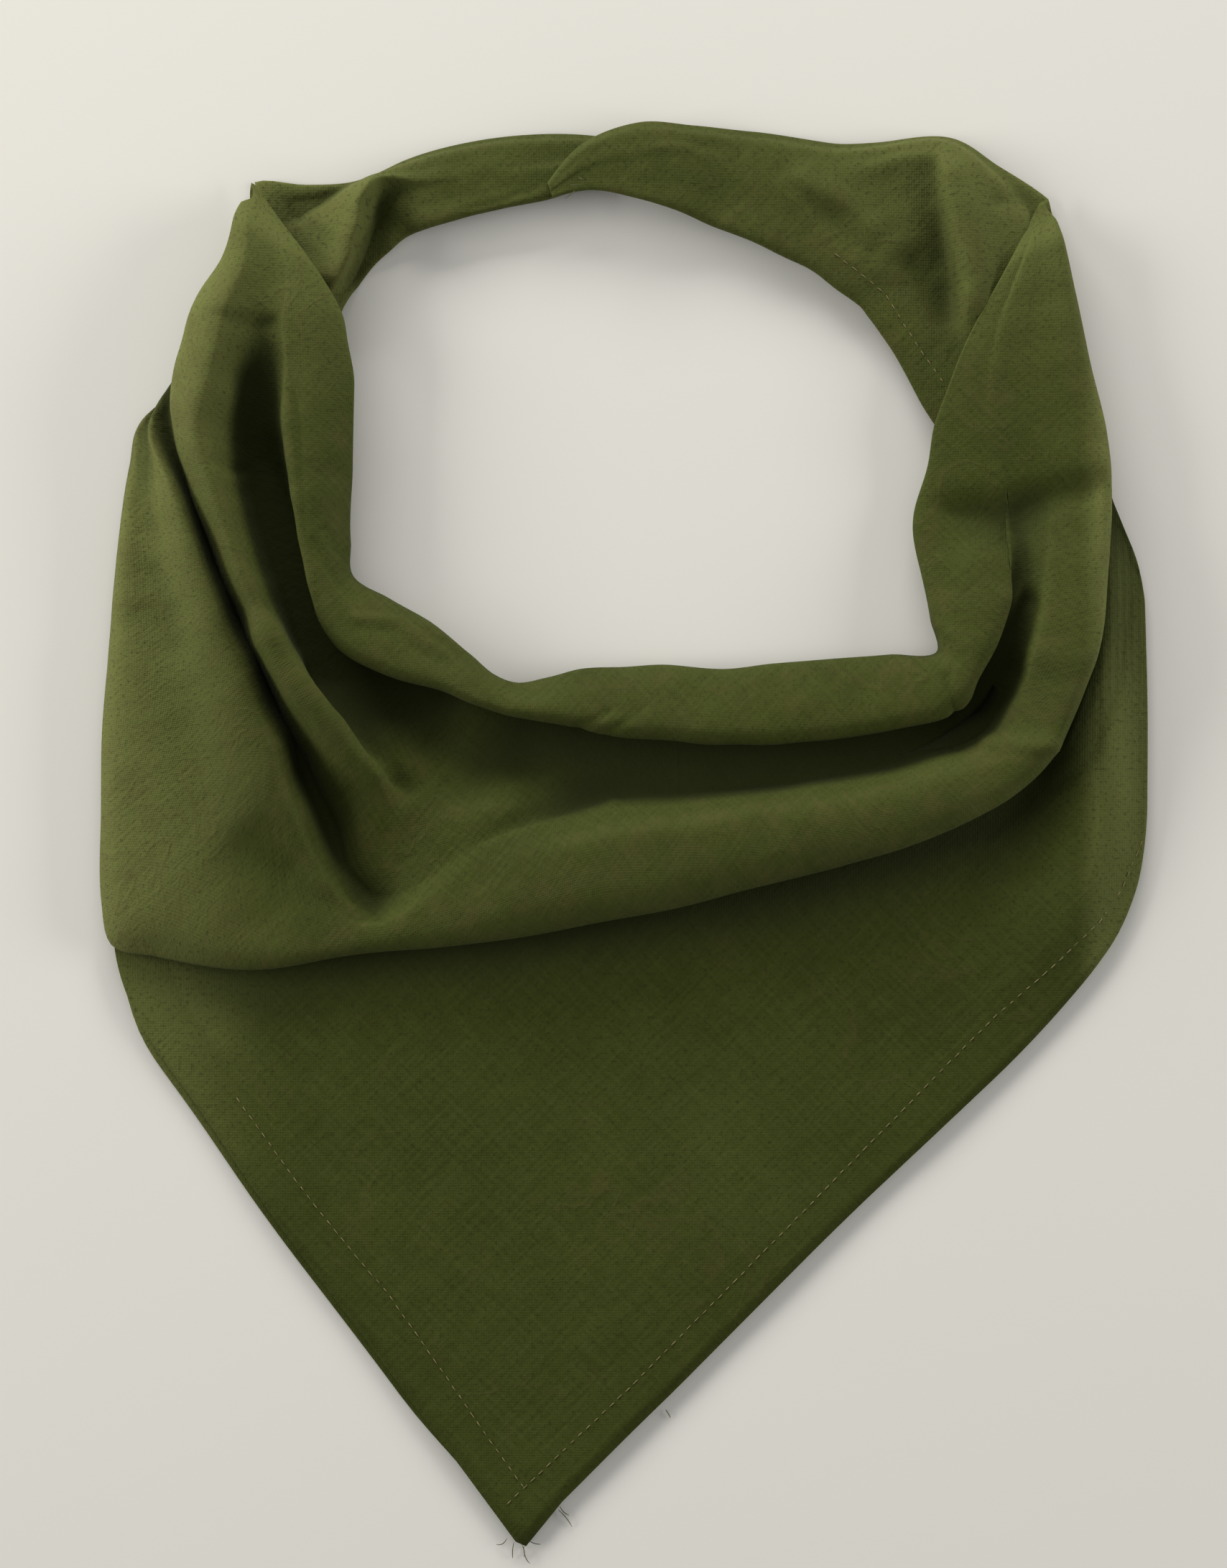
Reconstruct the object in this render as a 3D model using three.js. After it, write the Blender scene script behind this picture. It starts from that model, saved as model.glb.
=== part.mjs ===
// A neckerchief: one square of plain cotton folded corner to corner and laid on a table as an open loop.
// The long fold is the neckline. In front it is a soft roll, below it the cloth drops in one wide swag
// over a flat pointed panel, and at each side it twists half a turn outwards into a tail. The right
// tail's end lies on the left tail's end. Millimetres, +Z up, the point towards -Y.
import * as THREE from 'three';

// Cloth
const CLOTH = 1.0;
const GAP = 0.3;
const HEM_WIDTH = 14;

// Neckline and the roll along it
const NECK_RADIUS = 98;
const ROLL_WIDTH = 24.5;
const ROLL_HEIGHT = 13;
const ROLL_TUCK = 11;
const NECK_LAP = 9;

// Side ridge on the left, and the groove outside it
const RIDGE_WIDTH = 24.5;
const RIDGE_HEIGHT = 16;

// Swag in front: how far it reaches past the neck radius, its raised band, and its fold underneath
const SWAG_REACH = 49;
const SWAG_BAND = 22;
const SWAG_HEIGHT = 17;
const SWAG_TUCK = 26;

// Flat panel below the swag: how far its side corners reach past the neck radius
const PANEL_REACH = 49;
const UNDER_PEEK = 2.6;

// Tails
const TAIL_WIDTH = 39.2;
const TAIL_HEIGHT = 8;
const CROSSING_SHARE = 0.56;

// Radii that follow from the neckline
const SWAG_RADIUS = NECK_RADIUS + SWAG_REACH;
const PANEL_RADIUS = NECK_RADIUS + PANEL_REACH;

// Heights of the middle of a ply that lies on the under ply, on a tail and on the turned hem
const LAID = CLOTH + GAP + CLOTH / 2;
const OVER_TAIL = TAIL_HEIGHT + GAP + CLOTH / 2;
const OVER_HEM = 2 * (CLOTH + GAP) + CLOTH / 2;

// Lift of the right tail's end, which lies on the lower end of the left tail
const TAIL_CROSS = CROSSING_SHARE * (TAIL_HEIGHT - CLOTH) + CLOTH + GAP;

const OLIVE = 0x4c5a2a;

// Angles are in degrees, clockwise from +X as seen from above, so 90 is the front.

// Neckline: edge is a share of NECK_RADIUS, roll of ROLL_WIDTH, tuck of ROLL_TUCK, and top, lip and dip
// of ROLL_HEIGHT. over says how far the ply is lifted onto a tail.
const NECKLINE_COLUMNS = ['at', 'edge', 'roll', 'over', 'top', 'lip', 'dip', 'tuck'];
const NECKLINE = [
  [-31, 1.49, 0.05, 1.0, 0.10, 0.10, 0.10, 0],
  [-26, 1.32, 0.20, 1.0, 0.16, 0.15, 0.14, 0],
  [-20, 1.155, 0.38, 1.0, 0.26, 0.24, 0.20, 0],
  [-15, 1.06, 0.50, 1.0, 0.32, 0.29, 0.24, 0],
  [-9, 0.99, 0.60, 0.95, 0.36, 0.32, 0.25, 0],
  [-2, 0.935, 0.72, 0.7, 0.46, 0.38, 0.22, 0],
  [6, 0.92, 0.95, 0.3, 0.75, 0.50, 0.16, 0.1],
  [14, 0.905, 1.32, 0, 1.0, 0.55, 0.10, 0.35],
  [19, 0.92, 1.32, 0, 1.08, 0.50, 0.05, 0.6],
  [24, 0.97, 1.18, 0, 1.1, 0.45, 0.03, 0.8],
  [32, 1.09, 0.84, 0, 1.05, 0.42, 0.02, 0.9],
  [36, 1.165, 0.60, 0, 1.0, 0.42, 0.02, 0.8],
  [41, 1.055, 1.14, 0, 1.05, 0.42, 0.02, 1.0],
  [49, 0.935, 1.16, 0, 1.05, 0.42, 0.02, 1.0],
  [59, 0.84, 1.12, 0, 1.0, 0.40, 0.02, 1.0],
  [69, 0.79, 1.01, 0, 1.0, 0.40, 0.02, 1.0],
  [83, 0.73, 0.96, 0, 1.0, 0.40, 0.02, 1.0],
  [95, 0.735, 0.86, 0, 0.95, 0.40, 0.02, 1.0],
  [104, 0.76, 0.72, 0, 0.9, 0.40, 0.02, 0.9],
  [111, 0.82, 0.54, 0, 0.85, 0.40, 0.02, 0.7],
  [116, 0.87, 0.42, 0, 0.85, 0.40, 0.02, 0.6],
  [121, 0.885, 0.43, 0, 0.9, 0.40, 0.02, 0.6],
  [128, 0.875, 0.59, 0, 0.95, 0.42, 0.02, 0.7],
  [138, 0.885, 0.92, 0, 1.05, 0.46, 0.02, 0.8],
  [147, 0.945, 1.0, 0, 1.1, 0.5, 0.02, 0.6],
  [154, 1.01, 0.61, 0, 1.08, 0.55, 0.03, 0.35],
  [160, 0.975, 0.62, 0, 1.05, 0.62, 0.06, 0.15],
  [174, 0.915, 0.80, 0.05, 0.95, 0.75, 0.2, 0],
  [190, 0.915, 0.85, 0.9, 0.42, 0.38, 0.2, 0],
  [198, 0.97, 0.80, 1.0, 0.36, 0.34, 0.26, 0],
  [203, 1.03, 0.66, 1.0, 0.32, 0.31, 0.27, 0],
  [208, 1.18, 0.42, 1.0, 0.24, 0.23, 0.22, 0],
  [213.4, 1.47, 0.03, 1.0, 0.10, 0.10, 0.10, 0],
];

// Left ridge: crest, edge and shoulder each follow on from the one before, starting at the roll's edge, as
// shares of RIDGE_WIDTH. The heights are shares of RIDGE_HEIGHT. The ridge fades out in the swag's slope.
const RIDGE_FADE = { from: 106, to: 124 };
const RIDGE_COLUMNS = ['at', 'crest', 'edge', 'shoulder', 'crestUp', 'edgeUp', 'grooveUp', 'shoulderUp'];
const RIDGE = [
  [106, 1.0, 0.45, 0.9, 0.42, 0.40, 0.45, 0.55],
  [119, 1.42, 0.50, 0.92, 0.62, 0.45, 0.30, 0.60],
  [128, 1.42, 0.42, 0.58, 0.88, 0.42, 0.12, 0.66],
  [134, 1.30, 0.35, 0.34, 0.94, 0.46, 0.08, 0.72],
  [140, 0.98, 0.31, 0.30, 0.96, 0.50, 0.06, 0.78],
  [148, 0.62, 0.24, 0.33, 0.96, 0.52, 0.06, 0.80],
  [154, 0.74, 0.24, 0.30, 0.97, 0.55, 0.06, 0.80],
  [166, 0.87, 0.29, 0.20, 0.98, 0.55, 0.06, 0.74],
  [174, 0.99, 0.30, 0.28, 1.0, 0.55, 0.06, 0.55],
  [181, 1.10, 0.30, 0.36, 1.0, 0.52, 0.05, 0.20],
  [188, 0.96, 0.46, 0.02, 0.98, 0.50, 0.10, 0.03],
  [198, 0.77, 0.37, -0.10, 0.9, 0.50, 0.16, 0.05],
  [208, 0.44, 0.20, -0.06, 0.72, 0.58, 0.50, 0.46],
  [213.4, 0.02, 0.02, 0.01, 0.5, 0.5, 0.5, 0.5],
];

// Swag: edge is a share of SWAG_RADIUS, band of SWAG_BAND, tuck of SWAG_TUCK, crest and lip of SWAG_HEIGHT
const SWAG_COLUMNS = ['at', 'edge', 'band', 'tuck', 'crest', 'lip'];
const SWAG = [
  [-31, 1.005, 0.3, 0.06, 0.40, 0.36],
  [-26, 0.985, 0.35, 0.10, 0.46, 0.36],
  [-18, 0.965, 0.45, 0.14, 0.56, 0.30],
  [-9, 0.962, 0.5, 0.16, 0.60, 0.28],
  [0, 0.983, 0.5, 0.22, 0.68, 0.33],
  [8, 1.002, 0.5, 0.40, 0.80, 0.42],
  [16, 1.015, 0.45, 0.62, 0.92, 0.48],
  [24, 1.048, 0.35, 0.85, 1.0, 0.52],
  [31, 1.074, 0.3, 0.95, 1.02, 0.53],
  [38, 1.093, 0.28, 1.0, 1.02, 0.53],
  [44, 1.087, 0.62, 1.05, 1.0, 0.50],
  [50, 1.053, 0.9, 1.05, 0.97, 0.48],
  [57, 1.023, 1.0, 1.05, 0.92, 0.46],
  [65, 0.995, 1.05, 1.05, 0.88, 0.44],
  [76, 0.98, 1.08, 1.0, 0.84, 0.42],
  [85, 0.995, 1.1, 1.0, 0.82, 0.42],
  [95, 1.028, 1.2, 0.95, 0.80, 0.42],
  [105, 1.097, 1.3, 0.9, 0.76, 0.42],
  [112, 1.162, 1.5, 0.85, 0.72, 0.40],
  [119, 1.248, 1.75, 0.8, 0.68, 0.38],
  [126, 1.39, 1.8, 0.7, 0.60, 0.34],
  [133, 1.50, 1.8, 0.55, 0.48, 0.28],
  [136, 1.548, 1.8, 0.45, 0.42, 0.24],
  [139, 1.506, 1.8, 0.35, 0.42, 0.22],
  [145, 1.39, 1.8, 0.3, 0.46, 0.20],
  [151, 1.30, 1.7, 0.25, 0.48, 0.19],
  [158, 1.21, 1.2, 0.2, 0.46, 0.17],
  [167, 1.133, 0.8, 0.18, 0.38, 0.13],
  [177, 1.079, 0.4, 0.12, 0.18, 0.06],
  [181, 1.064, 0.2, 0.10, 0.08, 0.03],
  [187, 0.998, 0.1, 0.08, 0.03, 0.02],
  [213.4, 0.985, 0.1, 0.02, 0.44, 0.42],
];

// Outline of the panel's hem where it shows, corner by corner, as shares of PANEL_RADIUS from the loop's
// middle
const HEM_CORNERS = [
  { x: 0.985, y: -0.09 },
  { x: 1.070, y: -0.292 },
  { x: 1.077, y: -0.567 },
  { x: 1.075, y: -0.867 },
  { x: 1.042, y: -1.008 },
  { x: 0.992, y: -1.092 },
  { x: 0.925, y: -1.175 },
  { x: 0.808, y: -1.305 },
  { x: 0.42, y: -1.67 },
  { x: -0.163, y: -2.255 },
  { x: -0.24, y: -2.35 },
  { x: -0.262, y: -2.34 },
  { x: -0.538, y: -1.963 },
  { x: -0.783, y: -1.642 },
  { x: -0.958, y: -1.383 },
  { x: -1.045, y: -1.27 },
  { x: -1.095, y: -1.17 },
  { x: -1.120, y: -1.06 },
  { x: -1.120, y: -0.9 },
];

// The corners that make the panel's blunt point, and the angles where the panel shows from under the swag
const TIP_CORNERS = { from: 9, to: 12 };
const PANEL_SHOWN = { from: 2, full: 7, fading: 137, to: 141 };

// Left tail: in is the open inner edge as a share of NECK_RADIUS, and width a share of TAIL_WIDTH. pleatOut
// and pleatIn are the raised pleat's edges as shares of the width from the inner edge. rim, flap, pleat, dip
// and inside are heights as shares of TAIL_HEIGHT less one ply. under lifts it, as a share of TAIL_CROSS.
const TAIL_COLUMNS = ['at', 'in', 'width', 'pleatOut', 'pleatIn', 'rim', 'flap', 'pleat', 'dip', 'inside', 'under'];
const LEFT_TAIL = [
  [190, 1.02, 0.78, 0.84, 0.52, 0.5, 0.75, 0.85, 0.75, 0.4, 0],
  [203, 1.03, 0.85, 0.79, 0.18, 0.45, 0.6, 0.88, 0.7, 0.4, 0],
  [209, 1.02, 1.0, 0.68, 0.13, 0.38, 0.45, 0.92, 0.55, 0.36, 0],
  [213.5, 1.01, 1.14, 0.59, 0.18, 0.32, 0.36, 0.98, 0.45, 0.34, 0],
  [217, 0.995, 0.875, 0.76, 0.32, 0.32, 0.38, 1.0, 0.42, 0.34, 0],
  [221, 0.98, 0.64, 0.86, 0.65, 0.34, 0.5, 0.98, 0.42, 0.34, 0],
  [225, 0.945, 0.60, 0.92, 0.73, 0.36, 0.62, 0.82, 0.46, 0.34, 0],
  [230, 0.905, 0.62, 0.9, 0.63, 0.36, 0.62, 0.68, 0.52, 0.34, 0],
  [241, 0.84, 0.595, 0.88, 0.55, 0.34, 0.56, 0.62, 0.52, 0.34, 0],
  [251, 0.81, 0.525, 0.86, 0.52, 0.32, 0.50, 0.54, 0.48, 0.32, 0],
  [266, 0.84, 0.275, 0.8, 0.45, 0.3, 0.40, 0.42, 0.38, 0.3, 0],
];

// Right tail, in the same columns
const RIGHT_TAIL = [
  [3, 1.02, 0.8, 0.81, 0.5, 0.45, 0.7, 0.8, 0.75, 0.4, 0],
  [-2, 0.95, 1.02, 0.83, 0.56, 0.45, 0.75, 0.85, 0.75, 0.36, 0],
  [-8, 0.90, 1.175, 0.85, 0.53, 0.45, 0.78, 0.9, 0.72, 0.34, 0],
  [-20, 0.85, 1.325, 0.85, 0.49, 0.45, 0.8, 0.96, 0.5, 0.34, 0],
  [-30.5, 0.82, 1.70, 0.85, 0.56, 0.36, 0.7, 1.0, 0.44, 0.34, 0],
  [-37, 0.785, 1.62, 0.92, 0.72, 0.36, 0.7, 0.98, 0.46, 0.34, 0],
  [-44, 0.765, 1.52, 0.95, 0.83, 0.36, 0.66, 0.88, 0.52, 0.34, 0],
  [-51, 0.738, 1.175, 0.92, 0.75, 0.36, 0.62, 0.72, 0.62, 0.34, 0],
  [-57, 0.725, 0.98, 0.9, 0.7, 0.34, 0.58, 0.66, 0.62, 0.34, 0],
  [-70, 0.712, 0.81, 0.89, 0.64, 0.34, 0.54, 0.6, 0.56, 0.34, 0],
  [-80, 0.728, 0.685, 0.88, 0.63, 0.34, 0.50, 0.55, 0.5, 0.33, 0.45],
  [-90, 0.752, 0.595, 0.87, 0.58, 0.33, 0.44, 0.48, 0.44, 0.32, 1],
  [-101, 0.795, 0.36, 0.86, 0.52, 0.32, 0.40, 0.42, 0.38, 0.31, 1],
  [-110, 0.805, 0.11, 0.78, 0.45, 0.31, 0.33, 0.34, 0.32, 0.31, 1],
];

const mix = (a, b, t) => a + (b - a) * t;
const clamp01 = (t) => Math.min(1, Math.max(0, t));
const smooth = (a, b, t) => {
  const s = clamp01((t - a) / (b - a));
  return s * s * (3 - 2 * s);
};
const radians = (degrees) => degrees * Math.PI / 180;

// Value of a table's column at an angle, on a smooth curve through its rows, whose first number is the angle
function column(rows, place) {
  const ascending = [...rows].sort((a, b) => a[0] - b[0]);
  const at = ascending.map((row) => row[0]);
  const value = ascending.map((row) => row[place]);
  const slope = value.map((_, i) => {
    const low = Math.max(0, i - 1);
    const high = Math.min(value.length - 1, i + 1);
    return (value[high] - value[low]) / (at[high] - at[low]);
  });
  return (angle) => {
    const a = Math.min(at.at(-1), Math.max(at[0], angle));
    let i = 0;
    while (i < at.length - 2 && a > at[i + 1]) i += 1;
    const run = at[i + 1] - at[i];
    const t = (a - at[i]) / run;
    const h00 = (1 + 2 * t) * (1 - t) ** 2;
    const h10 = t * (1 - t) ** 2;
    const h01 = t * t * (3 - 2 * t);
    const h11 = t * t * (t - 1);
    return h00 * value[i] + h10 * run * slope[i] + h01 * value[i + 1] + h11 * run * slope[i + 1];
  };
}

// All columns of a table as functions of the angle
function columns(names, rows) {
  return Object.fromEntries(names.map((name, place) => [name, column(rows, place)]));
}

const neckline = columns(NECKLINE_COLUMNS, NECKLINE);
const ridge = columns(RIDGE_COLUMNS, RIDGE);
const swag = columns(SWAG_COLUMNS, SWAG);

// Distance from the loop's middle to the hem along the ray at an angle
function hemReach(angle) {
  const rayX = Math.cos(radians(angle));
  const rayY = -Math.sin(radians(angle));
  for (let i = 0; i < HEM_CORNERS.length - 1; i += 1) {
    const a = HEM_CORNERS[i];
    const b = HEM_CORNERS[i + 1];
    const cross = rayX * (b.y - a.y) - rayY * (b.x - a.x);
    const share = (a.x * rayY - a.y * rayX) / cross;
    const reach = (a.x * (b.y - a.y) - a.y * (b.x - a.x)) / cross;
    if (share >= 0 && share <= 1 && reach > 0) return PANEL_RADIUS * reach;
  }
  const end = angle < 90 ? HEM_CORNERS[0] : HEM_CORNERS.at(-1);
  return PANEL_RADIUS * Math.hypot(end.x, end.y);
}

// Where the left ridge stands in front of the swag's end, the swag's edge lies just under the ridge's edge
const BEHIND_RIDGE = { from: 182, to: 190 };

// Distance out of the left ridge's outer edge at an angle
function ridgeOut(angle) {
  const rollEdge = NECK_RADIUS * neckline.edge(angle) + ROLL_WIDTH * neckline.roll(angle);
  return rollEdge + RIDGE_WIDTH * (ridge.crest(angle) + ridge.edge(angle));
}

// Distance out of the swag's edge at an angle
function swagOut(angle) {
  const behind = smooth(BEHIND_RIDGE.from, BEHIND_RIDGE.to, angle);
  return mix(SWAG_RADIUS * swag.edge(angle), ridgeOut(angle) - 2 * CLOTH, behind);
}

// Distance out of the panel's hem at an angle: the outline where it shows, just inside the swag elsewhere
function hemOut(angle) {
  const { from, full, fading, to } = PANEL_SHOWN;
  const shown = smooth(from, full, angle) * (1 - smooth(fading, to, angle));
  return mix(swagOut(angle) - 2 * CLOTH, hemReach(angle), shown);
}

// How far the front's section is opened out flat at the two peaks, where it narrows to a point
const FRONT_FROM = -30;
const FRONT_TO = 212.8;
function openness(angle) {
  return Math.min(angle - FRONT_FROM, FRONT_TO - angle);
}

// Section of the front at an angle: distance out and height of each fold, from under the neckline to the hem
function frontSection(angle) {
  const base = mix(LAID, OVER_TAIL, clamp01(neckline.over(angle)));
  const neck = NECK_RADIUS * neckline.edge(angle);
  const roll = ROLL_WIDTH * neckline.roll(angle);
  const rollEdge = neck + roll;
  const top = base + ROLL_HEIGHT * neckline.top(angle);
  const lip = base + ROLL_HEIGHT * neckline.lip(angle);
  const dip = base + ROLL_HEIGHT * neckline.dip(angle);
  const rollTuck = ROLL_TUCK * Math.max(0, neckline.tuck(angle));
  const swagEdge = swagOut(angle);
  const swagTuck = SWAG_TUCK * swag.tuck(angle);
  const swagTop = LAID + SWAG_HEIGHT * swag.crest(angle);
  const swagLip = LAID + SWAG_HEIGHT * swag.lip(angle);
  const lap = Math.min(NECK_LAP, 0.3 * (swagEdge - neck));
  const ridged = smooth(RIDGE_FADE.from, RIDGE_FADE.to, angle);
  const span = swagEdge - rollEdge;
  const rise = swagTop - dip;
  const ridgeCrest = mix(rollEdge + 0.22 * span, rollEdge + RIDGE_WIDTH * ridge.crest(angle), ridged);
  const ridgeEdge = mix(rollEdge + 0.32 * span, ridgeOut(angle), ridged);
  const shoulder = mix(rollEdge + 0.43 * span, ridgeEdge + RIDGE_WIDTH * ridge.shoulder(angle), ridged);
  const crestUp = mix(dip + 0.16 * rise, LAID + RIDGE_HEIGHT * ridge.crestUp(angle), ridged);
  const edgeUp = mix(dip + 0.38 * rise, LAID + RIDGE_HEIGHT * ridge.edgeUp(angle), ridged);
  const grooveUp = mix(dip + 0.60 * rise, LAID + RIDGE_HEIGHT * ridge.grooveUp(angle), ridged);
  const shoulderUp = mix(dip + 0.80 * rise, LAID + RIDGE_HEIGHT * ridge.shoulderUp(angle), ridged);
  const band = Math.min(SWAG_BAND * swag.band(angle), 0.8 * (swagEdge - shoulder));
  const valley = ridgeCrest - rollEdge;
  const hem = Math.max(hemOut(angle), swagEdge - 0.3 * swagTuck);
  return [
    [neck + lap, base],
    [neck + 0.4 * lap, base + 0.02 * (top - base)],
    [neck, mix(base, top, 0.38)],
    [neck + 0.16 * roll, mix(base, top, 0.8)],
    [neck + 0.5 * roll, top],
    [neck + 0.86 * roll, mix(top, lip, 0.42)],
    [rollEdge, lip],
    [rollEdge + 0.06 * valley - 0.5 * rollTuck, mix(lip, dip, 0.52)],
    [rollEdge + 0.12 * valley - rollTuck, mix(lip, dip, 0.76)],
    [rollEdge + 0.2 * valley - 0.6 * rollTuck, mix(lip, dip, 0.98)],
    [rollEdge + 0.42 * valley, dip],
    [mix(rollEdge, ridgeCrest, 0.78), mix(dip, crestUp, 0.62)],
    [ridgeCrest, crestUp],
    [ridgeEdge, edgeUp],
    [mix(ridgeEdge, shoulder, mix(0.45, 0.3, ridged)), grooveUp],
    [shoulder, shoulderUp],
    [swagEdge - band, swagTop],
    [swagEdge - 0.2 * band, mix(swagLip, swagTop, 0.86)],
    [swagEdge, swagLip],
    [swagEdge - 0.45 * swagTuck, mix(swagLip, OVER_HEM + CLOTH + GAP, 0.62)],
    [swagEdge - swagTuck, mix(swagLip, OVER_HEM, 0.8)],
    [mix(swagEdge - swagTuck, hem, 0.3), OVER_HEM],
    [mix(swagEdge - swagTuck, hem, 0.7), OVER_HEM],
    [hem, OVER_HEM],
  ];
}

// Point at an angle, a distance out and a height
function spoke(angle, out, up) {
  return new THREE.Vector3(out * Math.cos(radians(angle)), -out * Math.sin(radians(angle)), up);
}

// Smooth polyline through a section's folds, with the given number of steps in each stretch
function smoothSection(folds, steps) {
  const knots = folds.map(([out, up]) => new THREE.Vector3(out, up, 0));
  const curve = new THREE.CatmullRomCurve3(knots, false, 'centripetal');
  const points = [];
  for (let i = 0; i < folds.length - 1; i += 1) {
    for (let k = 0; k < steps[i]; k += 1) {
      points.push(curve.getPoint((i + k / steps[i]) / (folds.length - 1)));
    }
  }
  points.push(curve.getPoint(1));
  return points.map((p) => [p.x, p.y]);
}

// The two faces of a wall round a section, half a wall to each side of it
function thicken(section, wall) {
  const last = section.length - 1;
  const faces = [[], []];
  section.forEach(([out, up], i) => {
    const before = section[Math.max(0, i - 1)];
    const after = section[Math.min(last, i + 1)];
    const inRun = [out - before[0], up - before[1]];
    const outRun = [after[0] - out, after[1] - up];
    const unit = ([a, b]) => {
      const length = Math.hypot(a, b) || 1;
      return [a / length, b / length];
    };
    const a = i === 0 ? unit(outRun) : unit(inRun);
    const b = i === last ? unit(inRun) : unit(outRun);
    const normal = unit([-(a[1] + b[1]), a[0] + b[0]]);
    const bend = Math.max(0.75, -a[1] * normal[0] + a[0] * normal[1]);
    const half = wall / 2 / bend;
    faces[0].push([out + half * normal[0], up + half * normal[1]]);
    faces[1].push([out - half * normal[0], up - half * normal[1]]);
  });
  return faces;
}

// Closed body swept through wall sections, one for each angle
function sweepWall(angles, sectionAt) {
  const loops = angles.map((angle) => {
    const [upper, lower] = thicken(sectionAt(angle), CLOTH);
    const loop = [...upper, ...lower.reverse()];
    return loop.map(([out, up]) => spoke(angle, out, Math.max(0, up)));
  });
  return closedSweep(loops);
}

// Closed body through loops of points, capped at both ends by strips between the loop's two halves
function closedSweep(loops) {
  const around = loops[0].length;
  const positions = loops.flat().flatMap((p) => [p.x, p.y, p.z]);
  const index = [];
  const quad = (a, b, c, d) => index.push(a, b, c, a, c, d);
  for (let i = 0; i < loops.length - 1; i += 1) {
    for (let j = 0; j < around; j += 1) {
      const next = (j + 1) % around;
      quad(i * around + j, i * around + next, (i + 1) * around + next, (i + 1) * around + j);
    }
  }
  const end = (loops.length - 1) * around;
  for (let j = 0; j < around / 2 - 1; j += 1) {
    const k = around - 1 - j;
    quad(j, k, k - 1, j + 1);
    quad(end + j, end + j + 1, end + k - 1, end + k);
  }
  const geometry = new THREE.BufferGeometry();
  geometry.setAttribute('position', new THREE.Float32BufferAttribute(positions, 3));
  geometry.setIndex(index);
  if (volume(geometry) < 0) {
    for (let i = 0; i < index.length; i += 3) [index[i], index[i + 1]] = [index[i + 1], index[i]];
    geometry.setIndex(index);
  }
  geometry.computeVertexNormals();
  return geometry;
}

// Signed volume, negative where the faces point inwards
function volume(geometry) {
  const position = geometry.getAttribute('position');
  const index = geometry.getIndex();
  const corner = [new THREE.Vector3(), new THREE.Vector3(), new THREE.Vector3()];
  let sum = 0;
  for (let i = 0; i < index.count; i += 3) {
    corner.forEach((c, k) => c.fromBufferAttribute(position, index.getX(i + k)));
    sum += corner[0].dot(corner[1].clone().cross(corner[2])) / 6;
  }
  return sum;
}

// Angles of a table's rows, with further ones between so that no step is longer than the given one
function angleSteps(anchors, longest) {
  const sorted = [...anchors].sort((a, b) => a - b);
  const angles = [];
  for (let i = 0; i < sorted.length - 1; i += 1) {
    const steps = Math.ceil((sorted[i + 1] - sorted[i]) / longest);
    for (let k = 0; k < steps; k += 1) angles.push(mix(sorted[i], sorted[i + 1], k / steps));
  }
  angles.push(sorted.at(-1));
  return angles;
}

// Angle of a hem corner as seen from the loop's middle
const cornerAngle = ({ x, y }) => {
  const angle = -Math.atan2(y, x) * 180 / Math.PI;
  return angle < -90 ? angle + 360 : angle;
};

// Angles of the neckline's rows and of the panel's tip between two limits
function frontAngles(from, to, longest) {
  const tip = HEM_CORNERS.slice(TIP_CORNERS.from, TIP_CORNERS.to).map(cornerAngle);
  const rows = NECKLINE.map(([at]) => at).filter((at) => at > from + 1 && at < to - 1);
  const kept = rows.filter((at) => tip.every((corner) => Math.abs(corner - at) > 2));
  return angleSteps([from, ...kept, ...tip, to], longest);
}

// The upper ply from peak to peak: neck roll, valley, left ridge, swag and front panel
function makeFrontDrape() {
  const angles = frontAngles(FRONT_FROM, FRONT_TO, 7.5);
  const steps = [1, 1, 1, 1, 1, 1, 1, 1, 1, 1, 1, 2, 2, 2, 2, 2, 1, 2, 2, 2, 1, 1, 2];
  return sweepWall(angles, (angle) => {
    const section = smoothSection(frontSection(angle), steps);
    const spread = smooth(0.3, 4, openness(angle));
    const level = smooth(0, 2.5, openness(angle));
    const first = NECK_RADIUS * neckline.edge(angle);
    const last = swagOut(angle);
    const flat = OVER_TAIL + CLOTH;
    return section.map(([out, up], i) => {
      const share = i / (section.length - 1);
      return [mix(mix(first, last, share), out, spread), mix(flat, up, level)];
    });
  });
}

// The under ply: a flat sheet on the table from the neckline to the hem
const UNDER_FROM = 4;
const UNDER_TO = 188;
function makeUnderPly() {
  const loops = frontAngles(UNDER_FROM, UNDER_TO, 5).map((angle) => {
    const inner = NECK_RADIUS * neckline.edge(angle) + CLOTH;
    const reach = Math.max(hemOut(angle), swagOut(angle) - CLOTH);
    const peek = smooth(97, 104, angle) * (1 - smooth(128, 136, angle));
    const outer = reach + mix(-CLOTH, UNDER_PEEK, peek);
    return [
      spoke(angle, inner, CLOTH),
      spoke(angle, mix(inner, outer, 0.5), CLOTH),
      spoke(angle, outer, CLOTH),
      spoke(angle, outer, 0),
      spoke(angle, mix(inner, outer, 0.5), 0),
      spoke(angle, inner, 0),
    ];
  });
  return closedSweep(loops);
}

// A turned hem between the two plies, between two angles
const RIGHT_HEM = { from: 46, to: 93.5 };
const LEFT_HEM = { from: 98.5, to: 133 };
function makeHem({ from, to }) {
  const corners = HEM_CORNERS.map(cornerAngle).filter((at) => at > from + 1 && at < to - 1);
  const low = CLOTH + GAP;
  const high = low + CLOTH;
  const loops = angleSteps([from, ...corners, to], 12).map((angle) => {
    const outer = hemOut(angle) - CLOTH;
    const inner = outer - HEM_WIDTH;
    return [
      spoke(angle, inner, high),
      spoke(angle, outer, high),
      spoke(angle, outer, low),
      spoke(angle, inner, low),
    ];
  });
  return closedSweep(loops);
}

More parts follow.
